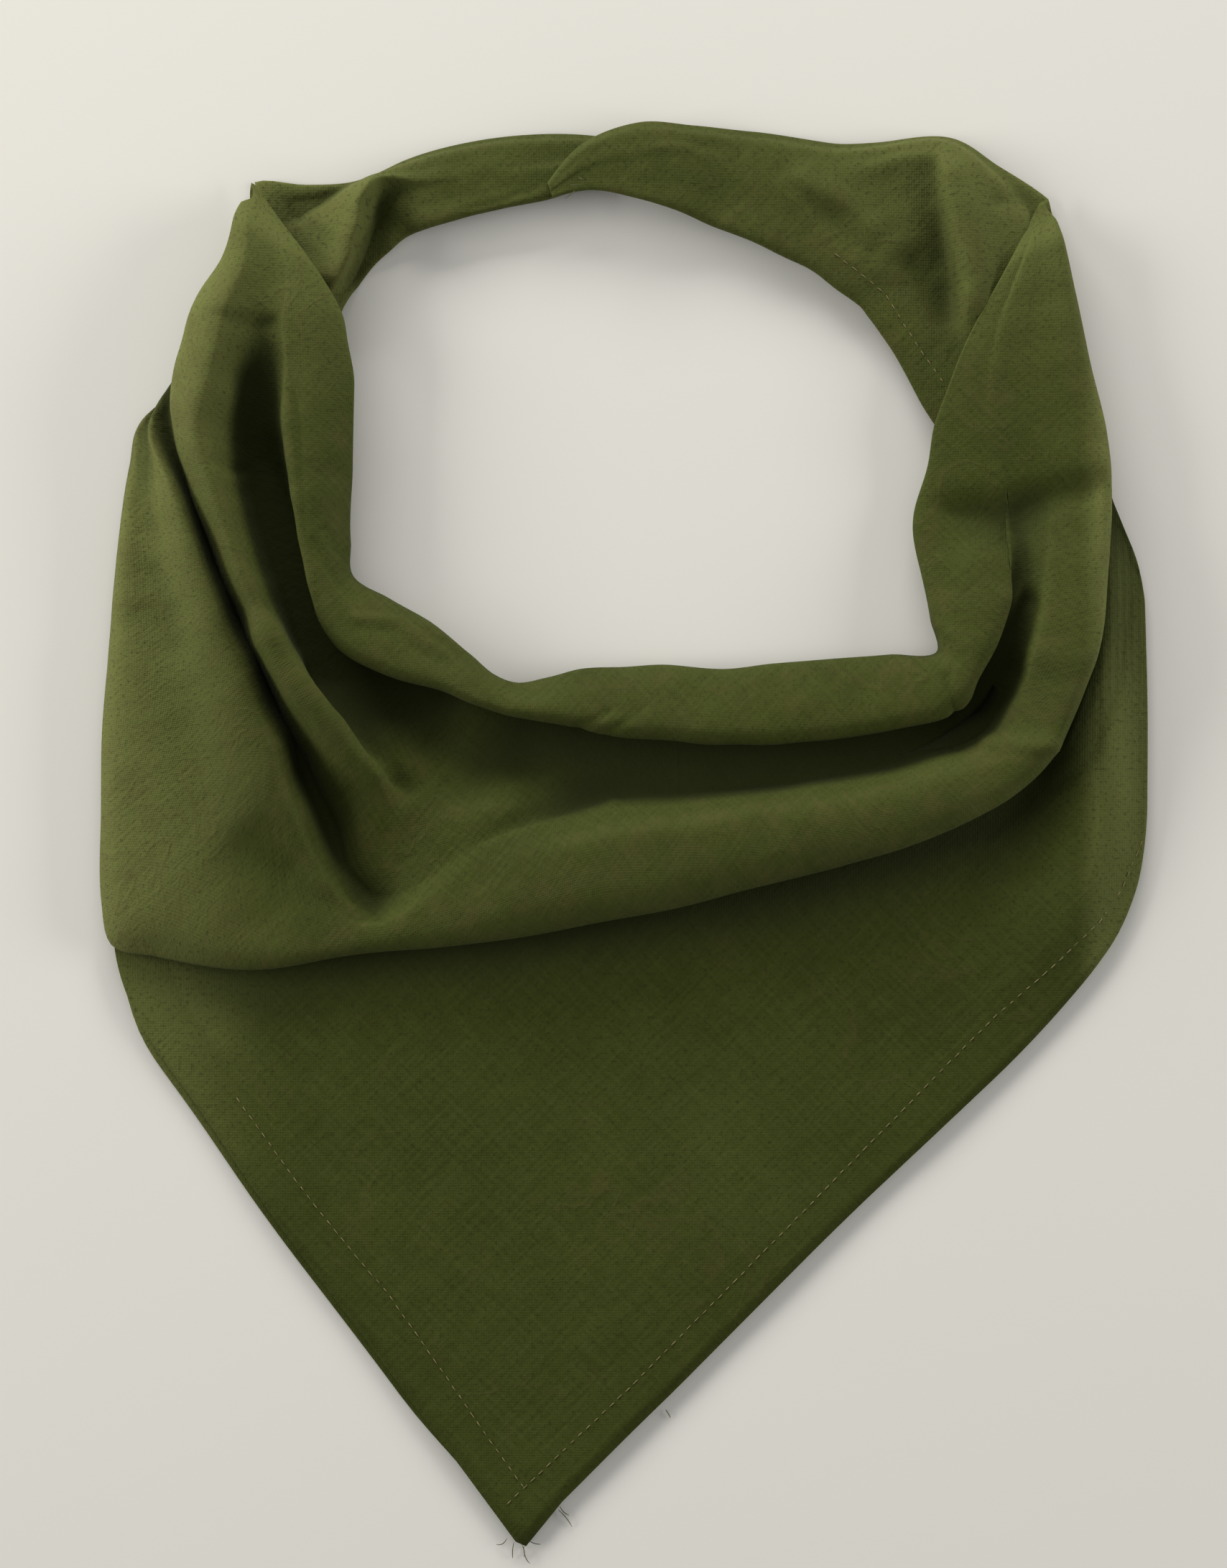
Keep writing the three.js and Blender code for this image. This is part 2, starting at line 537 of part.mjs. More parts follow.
// Room for a tail under the front, where the front's edge curls down to the table outside it
const CURL_ROOM = 2 * (CLOTH + GAP) + CLOTH;
function tailRoom(angle) {
  const peakRight = smooth(-18, -26, angle);
  const peakLeft = smooth(203, 209, angle);
  return swagOut(angle) - CURL_ROOM * (1 - peakRight) * (1 - peakLeft);
}

// Section of a tail: the lower ply from the open inner edge out to the fold, and the upper ply back over it
function tailSection(tail, angle) {
  const inner = NECK_RADIUS * tail.in(angle);
  const free = inner + TAIL_WIDTH * tail.width(angle);
  const covered = angle > FRONT_FROM && angle < FRONT_TO;
  const outer = covered ? Math.min(free, tailRoom(angle)) : free;
  const pleatOut = mix(inner, outer, tail.pleatOut(angle));
  const pleatIn = mix(inner, outer, tail.pleatIn(angle));
  const floor = CLOTH / 2 + TAIL_CROSS * clamp01(tail.under(angle));
  const height = TAIL_HEIGHT - CLOTH;
  const width = outer - inner;
  return [
    [inner + 0.06 * width, floor],
    [mix(inner, outer, 0.5), floor],
    [mix(inner, outer, 0.9), floor],
    [outer, floor + 0.5 * height * tail.rim(angle)],
    [mix(outer, pleatOut, 0.5), floor + height * tail.rim(angle)],
    [pleatOut, floor + height * tail.flap(angle)],
    [mix(pleatOut, pleatIn, 0.5), floor + height * mix(tail.flap(angle), tail.pleat(angle), 0.6)],
    [pleatIn, floor + height * tail.pleat(angle)],
    [mix(pleatIn, inner, 0.2), floor + height * tail.dip(angle)],
    [mix(pleatIn, inner, 0.55), floor + height * mix(tail.dip(angle), tail.inside(angle), 0.3)],
    [inner, floor + height * tail.inside(angle)],
  ];
}

// A tail: both plies as one folded wall, open along its inner edge
function makeTail(rows) {
  const tail = columns(TAIL_COLUMNS, rows);
  const steps = [1, 1, 2, 2, 1, 1, 1, 1, 1, 2];
  const angles = angleSteps(rows.map(([at]) => at), 6);
  return sweepWall(angles, (angle) => smoothSection(tailSection(tail, angle), steps));
}

const cotton = (name) => {
  return new THREE.MeshStandardMaterial({ name, color: OLIVE, roughness: 0.95, metalness: 0 });
};

const parts = [
  ['front_drape', makeFrontDrape()],
  ['under_ply', makeUnderPly()],
  ['right_hem', makeHem(RIGHT_HEM)],
  ['left_hem', makeHem(LEFT_HEM)],
  ['left_tail', makeTail(LEFT_TAIL)],
  ['right_tail', makeTail(RIGHT_TAIL)],
];

const neckerchief = new THREE.Group();
for (const [name, geometry] of parts) {
  const mesh = new THREE.Mesh(geometry, cotton(name));
  mesh.name = name;
  neckerchief.add(mesh);
}

// The origin is the middle of the bottom of the whole thing's box
const box = new THREE.Box3().setFromObject(neckerchief);
neckerchief.position.set(-(box.min.x + box.max.x) / 2, -(box.min.y + box.max.y) / 2, -box.min.z);

export default neckerchief;
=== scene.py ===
from types import SimpleNamespace

import bpy
import numpy as np
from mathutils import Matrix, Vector


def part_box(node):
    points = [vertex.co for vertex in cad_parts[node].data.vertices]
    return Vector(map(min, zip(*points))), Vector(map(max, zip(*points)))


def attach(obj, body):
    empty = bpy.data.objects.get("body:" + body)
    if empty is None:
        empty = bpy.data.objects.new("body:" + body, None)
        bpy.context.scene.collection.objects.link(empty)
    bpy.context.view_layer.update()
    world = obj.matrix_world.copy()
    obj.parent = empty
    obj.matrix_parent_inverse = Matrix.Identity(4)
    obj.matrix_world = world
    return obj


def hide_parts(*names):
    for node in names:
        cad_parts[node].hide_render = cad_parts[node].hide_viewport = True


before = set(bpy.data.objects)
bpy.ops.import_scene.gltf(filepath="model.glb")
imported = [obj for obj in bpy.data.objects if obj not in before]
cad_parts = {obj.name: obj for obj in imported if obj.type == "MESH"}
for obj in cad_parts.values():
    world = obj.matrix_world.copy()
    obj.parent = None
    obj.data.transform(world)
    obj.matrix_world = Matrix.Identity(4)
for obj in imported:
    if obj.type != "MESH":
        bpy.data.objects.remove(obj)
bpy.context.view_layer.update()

# A neckerchief of plain olive cotton, folded corner to corner and laid down as an open loop.
# Shapes are worked out in millimetres from the loop's middle. Angles are in degrees, clockwise from
# the right as seen from above, so that 90 is the front.
MM = 0.001
# Room that a sheet of cloth takes up, clearance between two, and the thickness that is shown
CLOTH = 1.0
GAP = 0.3
PLY = 0.6

HEM_WIDTH = 14.5
NECK_RADIUS = 98.0
ROLL_WIDTH = 24.5
ROLL_HEIGHT = 16.0
ROLL_TUCK = 11.0
NECK_LAP = 9.0
RIDGE_WIDTH = 24.5
RIDGE_HEIGHT = 20.0
SWAG_RADIUS = 147.0
SWAG_BAND = 22.0
SWAG_HEIGHT = 20.0
SWAG_TUCK = 26.0
PANEL_RADIUS = 147.0
UNDER_PEEK = 2.6
TAIL_WIDTH = 39.2
TAIL_HEIGHT = 10.0
CROSSING_SHARE = 0.56

# Heights of a sheet's middle on the under ply, over a tail and over a hem
LAID = CLOTH + GAP + CLOTH / 2
OVER_TAIL = TAIL_HEIGHT + GAP + CLOTH / 2
OVER_HEM = 2.2
# The front sheet's middle stays above this, clear of the under ply
LOWEST = 1.3
TAIL_CROSS = CROSSING_SHARE * (TAIL_HEIGHT - CLOTH) + CLOTH + GAP
CURL_ROOM = 2 * (CLOTH + GAP) + CLOTH

FRONT_FROM, FRONT_TO = -30.3, 213.3
PEAK_HEIGHT = 4.5
# The panel's right margin rises by this much over this width, inwards to the swag
MARGIN_LIFT, MARGIN_WIDTH = 6.5, 18.0
UNDER_FROM, UNDER_TO = 4.0, 188.0
# Angles between which each hem lies, height of a hem's middle and its shown thickness
RIGHT_HEM, LEFT_HEM = (46, 93.5), (98.5, 133)
HEM_MIDDLE, HEM_PLY = 1.15, 0.8
STITCH_PITCH, STITCH_LENGTH, STITCH_RADIUS = 3.4, 2.2, 0.16
FRAY_RADIUS = 0.14

# Neckline and roll: shares of NECK_RADIUS, ROLL_WIDTH, ROLL_HEIGHT and ROLL_TUCK
NECKLINE_COLUMNS = "edge roll over top lip dip tuck"
NECKLINE = [
    (-31, 1.495, 0.01, 1.0, 0.02, 0.02, 0.02, 0),
    (-26, 1.32, 0.2, 1.0, 0.05, 0.07, 0.08, 0),
    (-20, 1.155, 0.34, 1.0, 0.06, 0.09, 0.1, 0),
    (-15, 1.06, 0.44, 1.0, 0.07, 0.1, 0.11, 0),
    (-9, 0.99, 0.55, 0.95, 0.1, 0.13, 0.14, 0),
    (-2, 0.935, 0.68, 0.7, 0.25, 0.28, 0.29, 0),
    (6, 0.92, 0.92, 0.3, 0.5, 0.5, 0.48, 0),
    (14, 0.905, 1.26, 0, 0.74, 0.73, 0.69, 0),
    (19, 0.92, 1.3, 0, 0.86, 0.83, 0.64, 0.05),
    (24, 0.97, 1.18, 0, 0.94, 0.88, 0.55, 0.2),
    (32, 1.09, 0.82, 0, 0.98, 0.84, 0.3, 0.6),
    (36, 1.165, 0.56, 0, 0.92, 0.78, 0.04, 0.9),
    (41, 1.055, 1.08, 0, 0.84, 0.68, 0, 1.0),
    (49, 0.935, 1.16, 0, 0.78, 0.6, 0, 1.1),
    (59, 0.84, 1.12, 0, 0.74, 0.56, 0, 1.1),
    (69, 0.79, 1.01, 0, 0.74, 0.54, 0, 1.1),
    (83, 0.73, 0.96, 0, 0.76, 0.54, 0, 1.1),
    (95, 0.735, 0.86, 0, 0.78, 0.54, 0, 1.1),
    (104, 0.76, 0.72, 0, 0.78, 0.54, 0, 1.0),
    (111, 0.82, 0.54, 0, 0.76, 0.56, 0, 0.8),
    (116, 0.87, 0.42, 0, 0.78, 0.58, 0.1, 0.7),
    (121, 0.885, 0.43, 0, 0.85, 0.62, 0.2, 0.6),
    (128, 0.875, 0.59, 0, 0.92, 0.68, 0.16, 0.7),
    (138, 0.885, 0.92, 0, 1.02, 0.75, 0.04, 0.8),
    (147, 0.945, 1.0, 0, 1.08, 0.85, 0.0, 0.6),
    (154, 1.01, 0.64, 0, 1.08, 0.92, 0.0, 0.4),
    (160, 0.975, 0.68, 0, 1.05, 0.95, 0.02, 0.25),
    (174, 0.915, 0.78, 0.05, 0.98, 0.92, 0.08, 0.1),
    (190, 0.915, 0.85, 0.9, 0.4, 0.4, 0.12, 0),
    (198, 0.97, 0.8, 1.0, 0.36, 0.34, 0.26, 0),
    (203, 1.03, 0.66, 1.0, 0.32, 0.31, 0.27, 0),
    (208, 1.18, 0.42, 1.0, 0.24, 0.23, 0.22, 0),
    (213.4, 1.455, 0.02, 1.0, 0.02, 0.02, 0.02, 0),
]

# Left ridge: shares of RIDGE_WIDTH, each from the one before, and of RIDGE_HEIGHT
RIDGE_FADE = (88, 95)
RIDGE_COLUMNS = "crest edge shoulder crest_up edge_up groove_up shoulder_up"
RIDGE = [
    (94, 0.52, 0.24, 0.26, 0.03, 0.1, 0.28, 0.5),
    (100, 0.78, 0.28, 0.26, 0.07, 0.17, 0.32, 0.52),
    (106, 1.05, 0.3, 0.25, 0.26, 0.38, 0.5, 0.62),
    (112, 1.35, 0.4, 0.3, 0.5, 0.53, 0.55, 0.6),
    (119, 1.49, 1.14, 0.42, 0.4, 0.3, 0.29, 0.42),
    (124, 1.47, 1.06, 0.36, 0.48, 0.23, 0.18, 0.5),
    (128, 1.34, 0.78, 0.44, 0.58, 0.2, 0.08, 0.6),
    (134, 1.09, 0.52, 0.41, 0.8, 0.3, 0.04, 0.74),
    (140, 0.74, 0.4, 0.36, 0.93, 0.36, 0.02, 0.84),
    (148, 0.51, 0.22, 0.34, 0.97, 0.42, 0.02, 0.88),
    (154, 0.58, 0.22, 0.34, 0.98, 0.45, 0.02, 0.88),
    (166, 0.79, 0.26, 0.25, 0.98, 0.5, 0.03, 0.84),
    (174, 0.95, 0.31, 0.24, 1.0, 0.54, 0.05, 0.68),
    (181, 1.1, 0.3, 0.36, 1.0, 0.52, 0.05, 0.2),
    (188, 0.96, 0.46, 0.02, 0.98, 0.5, 0.1, 0.03),
    (198, 0.77, 0.37, -0.1, 0.9, 0.5, 0.16, 0.05),
    (208, 0.44, 0.2, -0.06, 0.72, 0.58, 0.5, 0.46),
    (213.4, 0.02, 0.02, 0.01, 0.5, 0.5, 0.5, 0.5),
]

# Swag: shares of SWAG_RADIUS, SWAG_BAND, SWAG_TUCK and SWAG_HEIGHT
SWAG_COLUMNS = "edge band tuck crest lip"
SWAG = [
    (-31, 1.004, 0.3, 0.06, 0.34, 0.32),
    (-26, 0.987, 0.35, 0.1, 0.48, 0.36),
    (-18, 0.966, 0.45, 0.14, 0.5, 0.33),
    (-9, 0.962, 0.5, 0.16, 0.52, 0.32),
    (0, 0.985, 0.5, 0.22, 0.56, 0.32),
    (8, 1.003, 0.45, 0.4, 0.64, 0.36),
    (16, 1.02, 0.36, 0.62, 0.72, 0.4),
    (24, 1.054, 0.28, 0.85, 0.84, 0.45),
    (31, 1.073, 0.24, 0.95, 0.94, 0.48),
    (38, 1.098, 0.26, 1.0, 0.84, 0.44),
    (44, 1.09, 0.55, 1.05, 0.8, 0.42),
    (50, 1.062, 0.85, 1.05, 0.81, 0.42),
    (57, 1.03, 1.0, 1.05, 0.82, 0.42),
    (65, 0.998, 1.05, 1.05, 0.84, 0.4),
    (76, 0.98, 1.08, 1.0, 0.84, 0.42),
    (85, 0.995, 1.1, 1.0, 0.82, 0.42),
    (95, 1.028, 1.2, 0.95, 0.8, 0.42),
    (105, 1.097, 1.3, 0.9, 0.76, 0.42),
    (112, 1.162, 1.5, 0.85, 0.62, 0.4),
    (119, 1.248, 1.5, 0.8, 0.54, 0.3),
    (126, 1.39, 1.7, 0.7, 0.46, 0.28),
    (133, 1.5, 1.9, 0.55, 0.46, 0.16),
    (136, 1.548, 1.9, 0.45, 0.46, 0.13),
    (139, 1.506, 1.9, 0.35, 0.46, 0.11),
    (145, 1.39, 1.6, 0.3, 0.46, 0.09),
    (151, 1.3, 1.4, 0.25, 0.47, 0.08),
    (158, 1.21, 1.0, 0.2, 0.46, 0.08),
    (167, 1.133, 0.6, 0.18, 0.42, 0.07),
    (177, 1.079, 0.3, 0.12, 0.24, 0.05),
    (181, 1.064, 0.2, 0.1, 0.12, 0.03),
    (187, 0.998, 0.1, 0.08, 0.03, 0.02),
    (213.4, 0.99, 0.1, 0.02, 0.44, 0.42),
]

# Corners of the panel's hem, as shares of PANEL_RADIUS
HEM_CORNERS = np.array([
    (0.985, -0.09),
    (1.07, -0.292),
    (1.077, -0.567),
    (1.075, -0.867),
    (1.042, -1.008),
    (0.992, -1.092),
    (0.925, -1.175),
    (0.808, -1.305),
    (0.42, -1.67),
    (-0.163, -2.255),
    (-0.24, -2.35),
    (-0.262, -2.34),
    (-0.538, -1.963),
    (-0.783, -1.642),
    (-0.958, -1.383),
    (-1.045, -1.27),
    (-1.095, -1.17),
    (-1.12, -1.06),
    (-1.12, -0.9),
])
TIP_CORNERS = slice(9, 12)
# Angles over which the panel comes into sight and leaves it, the swag goes behind the ridge, and the
# front comes to hang
PANEL_SHOWN = (2, 7, 137, 141)
BEHIND_RIDGE = (182, 190)
FRONT_HANGS = (20, 44)
# Outside these the front's angles are closer together, where its folds turn
FRONT_SIDES = (45, 118)

# Tails: inner edge as a share of NECK_RADIUS, width of TAIL_WIDTH, pleat edges of the width, heights
TAIL_COLUMNS = "inner width pleat_out pleat_in rim flap pleat dip inside under"
LEFT_TAIL = [
    (190, 1.02, 0.78, 0.84, 0.52, 0.5, 0.75, 0.85, 0.75, 0.4, 0),
    (203, 1.03, 0.85, 0.79, 0.18, 0.45, 0.6, 0.88, 0.7, 0.4, 0),
    (209, 1.02, 1.0, 0.68, 0.13, 0.2, 0.22, 0.92, 0.3, 0.22, 0),
    (213.5, 1.01, 1.155, 0.6, 0.18, 0.12, 0.12, 1.0, 0.3, 0.22, 0),
    (217, 0.995, 0.86, 0.74, 0.34, 0.12, 0.12, 1.0, 0.3, 0.25, 0),
    (221, 0.98, 0.64, 0.9, 0.68, 0.2, 0.3, 1.0, 0.34, 0.32, 0),
    (225, 0.945, 0.6, 0.96, 0.88, 0.34, 0.62, 0.9, 0.62, 0.65, 0),
    (230, 0.905, 0.62, 0.9, 0.63, 0.36, 0.62, 0.78, 0.7, 0.7, 0),
    (241, 0.84, 0.595, 0.88, 0.55, 0.34, 0.56, 0.7, 0.72, 0.75, 0),
    (251, 0.81, 0.525, 0.86, 0.52, 0.32, 0.5, 0.62, 0.7, 0.72, 0),
    (266, 0.84, 0.275, 0.8, 0.45, 0.3, 0.4, 0.5, 0.5, 0.5, 0),
]
RIGHT_TAIL = [
    (3, 1.02, 0.8, 0.81, 0.5, 0.45, 0.7, 0.8, 0.75, 0.4, 0),
    (-2, 0.95, 1.02, 0.83, 0.56, 0.45, 0.75, 0.85, 0.75, 0.36, 0),
    (-8, 0.9, 1.175, 0.85, 0.53, 0.45, 0.78, 0.9, 0.72, 0.34, 0),
    (-20, 0.85, 1.325, 0.85, 0.49, 0.45, 0.8, 0.96, 0.5, 0.34, 0),
    (-28, 0.825, 1.74, 0.85, 0.54, 0.3, 0.7, 0.99, 0.45, 0.42, 0),
    (-30.5, 0.82, 1.71, 0.85, 0.56, 0.26, 0.66, 1.0, 0.44, 0.44, 0),
    (-37, 0.785, 1.62, 0.92, 0.72, 0.36, 0.7, 0.98, 0.62, 0.62, 0),
    (-44, 0.765, 1.52, 0.95, 0.83, 0.36, 0.66, 0.88, 0.68, 0.66, 0),
    (-51, 0.738, 1.175, 0.92, 0.75, 0.36, 0.62, 0.76, 0.74, 0.7, 0),
    (-57, 0.725, 0.98, 0.9, 0.7, 0.34, 0.58, 0.72, 0.76, 0.74, 0),
    (-70, 0.712, 0.81, 0.89, 0.64, 0.34, 0.54, 0.68, 0.74, 0.72, 0),
    (-80, 0.728, 0.685, 0.88, 0.63, 0.34, 0.5, 0.62, 0.66, 0.6, 0.45),
    (-90, 0.752, 0.595, 0.87, 0.58, 0.33, 0.44, 0.52, 0.5, 0.45, 1),
    (-101, 0.795, 0.36, 0.86, 0.52, 0.32, 0.4, 0.42, 0.38, 0.31, 1),
    (-110, 0.805, 0.11, 0.78, 0.45, 0.31, 0.33, 0.34, 0.32, 0.31, 1),
]

# Steps in each stretch of the sections, and the numbers of the folds that are looked up in them
FRONT_STEPS = [2, 4, 5, 6, 7, 6, 3, 2, 3, 4, 5, 6, 6, 6, 6, 6, 5, 4, 2, 2, 4, 28]
ROLL_TOP, SWAG_EDGE, TUCK = 4, 18, 20
TAIL_STEPS = [4, 4, 6, 5, 5, 6, 7, 8, 8, 8, 5]
PLEAT, PLEAT_FOOT = 7, 8

# Creases: points in mm from the loop's middle, widths in mm to the left and to the right of the line,
# and height in mm. A height below nothing is a valley.
DRAPE_CREASES = [
    # Left shoulder and the valley between the two ridges
    ([(-134, 37), (-123, 35), (-109, 35)], 1.5, 3.0, -0.9),
    ([(-125, 36), (-119, 8), (-116, -16), (-106, -43), (-98, -63), (-88, -78)], 6.0, 6.0, -2.6),
    ([(-132, -7), (-127, -11), (-119, -11)], 3.0, 1.5, -0.8),
    ([(-110, 18), (-105, -12), (-102, -44), (-99, -60)], 2.0, 2.0, 0.7),
    ([(-106, 18), (-104, -12), (-102, -38)], 1.2, 1.2, -0.6),
    # Tip of the outer ridge, and the groove's end beside the outer sheet's bright lip
    ([(-120, -52), (-104, -77), (-87, -96), (-70, -111)], 3.5, 7.0, 3.2),
    ([(-112, -94), (-105, -112), (-99, -128), (-91, -141), (-82, -148), (-72, -153)], 15.0, 1.8, -1.8),
    ([(-115, -98), (-108, -118), (-101, -135), (-92, -145)], 1.5, 5.0, 1.0),
    # Foot of the inner ridge
    ([(-104, -66), (-98, -77), (-90, -87), (-82, -98), (-75, -107), (-70, -115)], 4.0, 2.4, -5.5),
    # Small wrinkles on the roll
    ([(-101, -31), (-96, -41), (-91, -50)], 1.2, 1.5, -0.5),
    ([(-98, -28), (-92, -38)], 1.2, 1.4, -0.4),
    ([(-92, -56), (-83, -57), (-74, -58), (-66, -64), (-57, -69)], 1.1, 1.5, 0.9),
    ([(-90, -59), (-76, -61), (-66, -68), (-54, -74)], 1.3, 2.0, -0.4),
    ([(-72, -56), (-60, -62), (-48, -69)], 1.1, 1.4, 0.7),
    ([(-42, -77), (-33, -81), (-26, -78)], 1.8, 1.8, -0.6),
    ([(-21, -90), (-14, -88), (-7, -84)], 1.2, 1.6, -0.8),
    ([(-12, -92), (-3, -88), (3, -82)], 1.0, 1.4, -0.6),
    ([(9, -79), (15, -85), (19, -91)], 1.2, 1.2, -0.5),
    ([(21, -79), (26, -85), (29, -90)], 1.2, 1.2, -0.4),
    ([(94, -72), (98, -88)], 1.2, 1.6, -0.9),
    # Dart between the right shoulder and the flat end of the roll
    ([(150, -15), (131, -18), (112, -25), (86, -24)], 14.0, 5.5, -3.8),
    ([(148, -20), (132, -25), (117, -31)], 5.0, 2.5, 0.5),
    ([(118, -44), (116, -52), (113, -60), (108, -73), (101, -89)], 1.2, 8.0, 1.3),
    ([(120, -46), (118, -53), (115, -62), (110, -77)], 4.0, 1.2, -1.6),
    ([(124, -66), (120, -86), (111, -101), (96, -109)], 12.0, 10.0, -1.8),
    # Corner, side and breaking line of the swag
    ([(132, -97), (119, -96), (104, -94)], 2.0, 2.6, 1.4),
    ([(146, -21), (143, -54), (137, -78), (131, -97)], 4.0, 1.0, 0.9),
    ([(128, -98), (95, -101), (54, -110), (19, -120), (-26, -126), (-61, -127)], 3.0, 7.0, 0.9),
    ([(-150, -146), (-128, -152), (-108, -150)], 2.5, 3.0, -0.7),
    ([(-160, -60), (-150, -95), (-140, -128)], 5.0, 8.0, 0.6),
]
PANEL_CREASES = [
    ([(124, -110), (107, -121), (88, -125)], 3.0, 5.0, -1.2),
    ([(159, -44), (152, -49), (144, -56)], 1.6, 5.0, -2.0),
    ([(147, -22), (148, -50), (144, -75), (136, -98), (120, -112)], 4.0, 2.0, -3.0),
    ([(135, -131), (131, -150), (112, -174)], 4.0, 7.0, 0.5),
    ([(-137, -179), (-114, -207), (-104, -241)], 6.0, 8.0, 0.5),
    ([(-128, -193), (-117, -204)], 1.5, 2.0, -0.5),
    ([(-138, -184), (-128, -198), (-123, -212)], 1.6, 2.0, -0.4),
    ([(-95, -178), (-60, -172), (-20, -178)], 5.0, 7.0, 0.4),
    ([(-30, -240), (20, -215), (60, -180)], 8.0, 9.0, 0.4),
]
LEFT_TAIL_CREASES = [
    ([(-82, 84), (-84, 69), (-89, 56), (-96, 42)], 0.9, 9.0, 3.4),
    ([(-80, 82), (-82, 68), (-86, 56), (-92, 44)], 6.0, 1.0, -2.0),
    ([(-111, 63), (-97, 72), (-80, 83)], 0.9, 8.0, 1.6),
    ([(-112, 66), (-98, 74), (-83, 84)], 7.0, 1.0, -1.4),
    ([(-56, 70), (-42, 73), (-29, 78)], 1.2, 1.2, -0.4),
]
RIGHT_TAIL_CREASES = [
    ([(93, 91), (97, 70), (100, 51), (102, 30)], 10.0, 1.0, 3.0),
    ([(91, 90), (94, 69), (97, 50), (99, 33)], 1.2, 5.0, -1.6),
    ([(70, 64), (86, 53), (102, 32)], 5.0, 5.0, -1.5),
    ([(44, 83), (65, 71), (83, 52)], 5.0, 3.0, 2.0),
    ([(42, 81), (62, 58), (88, 48)], 1.2, 3.0, 0.9),
    ([(107, 73), (118, 73), (130, 75)], 5.0, 3.0, -1.6),
    ([(0, 88), (12, 90), (28, 84)], 1.5, 2.5, 0.5),
]

# Lines of running stitches
HEM_STITCHES = [
    [(157, -125), (150, -141), (143, -151), (125, -168), (111, -180), (-1, -294), (-42, -333)],
    [(-126, -205), (-102, -238), (-89, -254), (-78, -267), (-64, -287), (-46, -313), (-36, -327)],
]
TAIL_STITCHES = [[(60, 57), (76, 45), (87, 28), (95, 16)]]
# Start, direction in degrees from the right, and length of each frayed thread
TIP_FRAYS = [
    (-39, -344, -100, 5), (-37, -345, -60, 4), (-41, -343, -130, 4), (-36, -345, -85, 6),
    (-35, -344, -20, 4), (-26, -334, -40, 7), (-25, -333, -55, 4), (8, -303, -50, 3),
]
TOP_FRAYS = [(-17, 78, 200, 4), (-19, 77, 230, 5), (-16, 78, 150, 3)]


def mix(a, b, t):
    """The value a share t of the way from a to b."""
    return a + (b - a) * t


def smooth(a, b, t):
    """An S-curve from 0 at a to 1 at b."""
    s = np.clip((t - a) / (b - a), 0, 1)
    return s * s * (3 - 2 * s)


def curve_through(rows, columns):
    """Reads a table at any angle, each column on a smooth cubic through its rows."""
    rows = np.array(sorted(rows), float)
    at, values = rows[:, 0], rows[:, 1:]
    order = np.arange(len(at))
    low, high = np.maximum(order - 1, 0), np.minimum(order + 1, len(at) - 1)
    slopes = (values[high] - values[low]) / (at[high] - at[low])[:, None]

    def read(angle):
        a = np.clip(angle, at[0], at[-1])
        i = np.clip(np.searchsorted(at, a) - 1, 0, len(at) - 2)
        run = (at[i + 1] - at[i])[:, None]
        t = (a - at[i])[:, None] / run
        start = (1 + 2 * t) * (1 - t) ** 2 * values[i] + t * (1 - t) ** 2 * run * slopes[i]
        end = t * t * (3 - 2 * t) * values[i + 1] + t * t * (t - 1) * run * slopes[i + 1]
        return SimpleNamespace(**dict(zip(columns.split(), (start + end).T)))

    return read


neckline = curve_through(NECKLINE, NECKLINE_COLUMNS)
ridge = curve_through(RIDGE, RIDGE_COLUMNS)
swag = curve_through(SWAG, SWAG_COLUMNS)


def hem_reach(angle):
    """Distance to the straight-sided outline of the panel's hem along the rays at the angles."""
    turn = np.radians(angle)[:, None]
    ray_x, ray_y = np.cos(turn), -np.sin(turn)
    a, b = HEM_CORNERS[:-1], HEM_CORNERS[1:]
    dx, dy = (b - a).T
    cross = ray_x * dy - ray_y * dx
    share = (a[:, 0] * ray_y - a[:, 1] * ray_x) / cross
    reach = (a[:, 0] * dy - a[:, 1] * dx) / cross
    met = (share >= 0) & (share <= 1) & (reach > 0)
    ends = np.hypot(*HEM_CORNERS[[0, -1]].T)
    missed = np.where(angle < 90, ends[0], ends[1])
    found = np.take_along_axis(reach, met.argmax(1)[:, None], 1)[:, 0]
    return PANEL_RADIUS * np.where(met.any(1), found, missed)


def corner_angles():
    """Angles of the hem's corners as seen from the loop's middle."""
    angle = -np.degrees(np.arctan2(HEM_CORNERS[:, 1], HEM_CORNERS[:, 0]))
    return np.where(angle < -90, angle + 360, angle)


def soft_hem_reach(angle):
    """The hem's outline with its corners rounded over six degrees, except at the tip."""
    near = np.linspace(-3, 3, 9)
    spread = np.mean([hem_reach(angle + shift) for shift in near], axis=0)
    tip = corner_angles()[TIP_CORNERS]
    close = np.abs(angle[:, None] - tip).min(1)
    return mix(hem_reach(angle), spread, smooth(3, 7, close))


def ridge_out(angle):
    """Distance out of the left ridge's outer edge."""
    neck, fold = neckline(angle), ridge(angle)
    return NECK_RADIUS * neck.edge + ROLL_WIDTH * neck.roll + RIDGE_WIDTH * (fold.crest + fold.edge)


def swag_out(angle):
    """Distance out of the swag's edge, which lies just under the ridge where that stands before it."""
    behind = smooth(*BEHIND_RIDGE, angle)
    return mix(SWAG_RADIUS * swag(angle).edge, ridge_out(angle) - 2 * CLOTH, behind)


def hem_out(angle):
    """Distance out of the panel's hem, which lies just inside the swag where it doesn't show."""
    first, full, fading, last = PANEL_SHOWN
    shown = smooth(first, full, angle) * (1 - smooth(fading, last, angle))
    return mix(swag_out(angle) - 2 * CLOTH, soft_hem_reach(angle), shown)


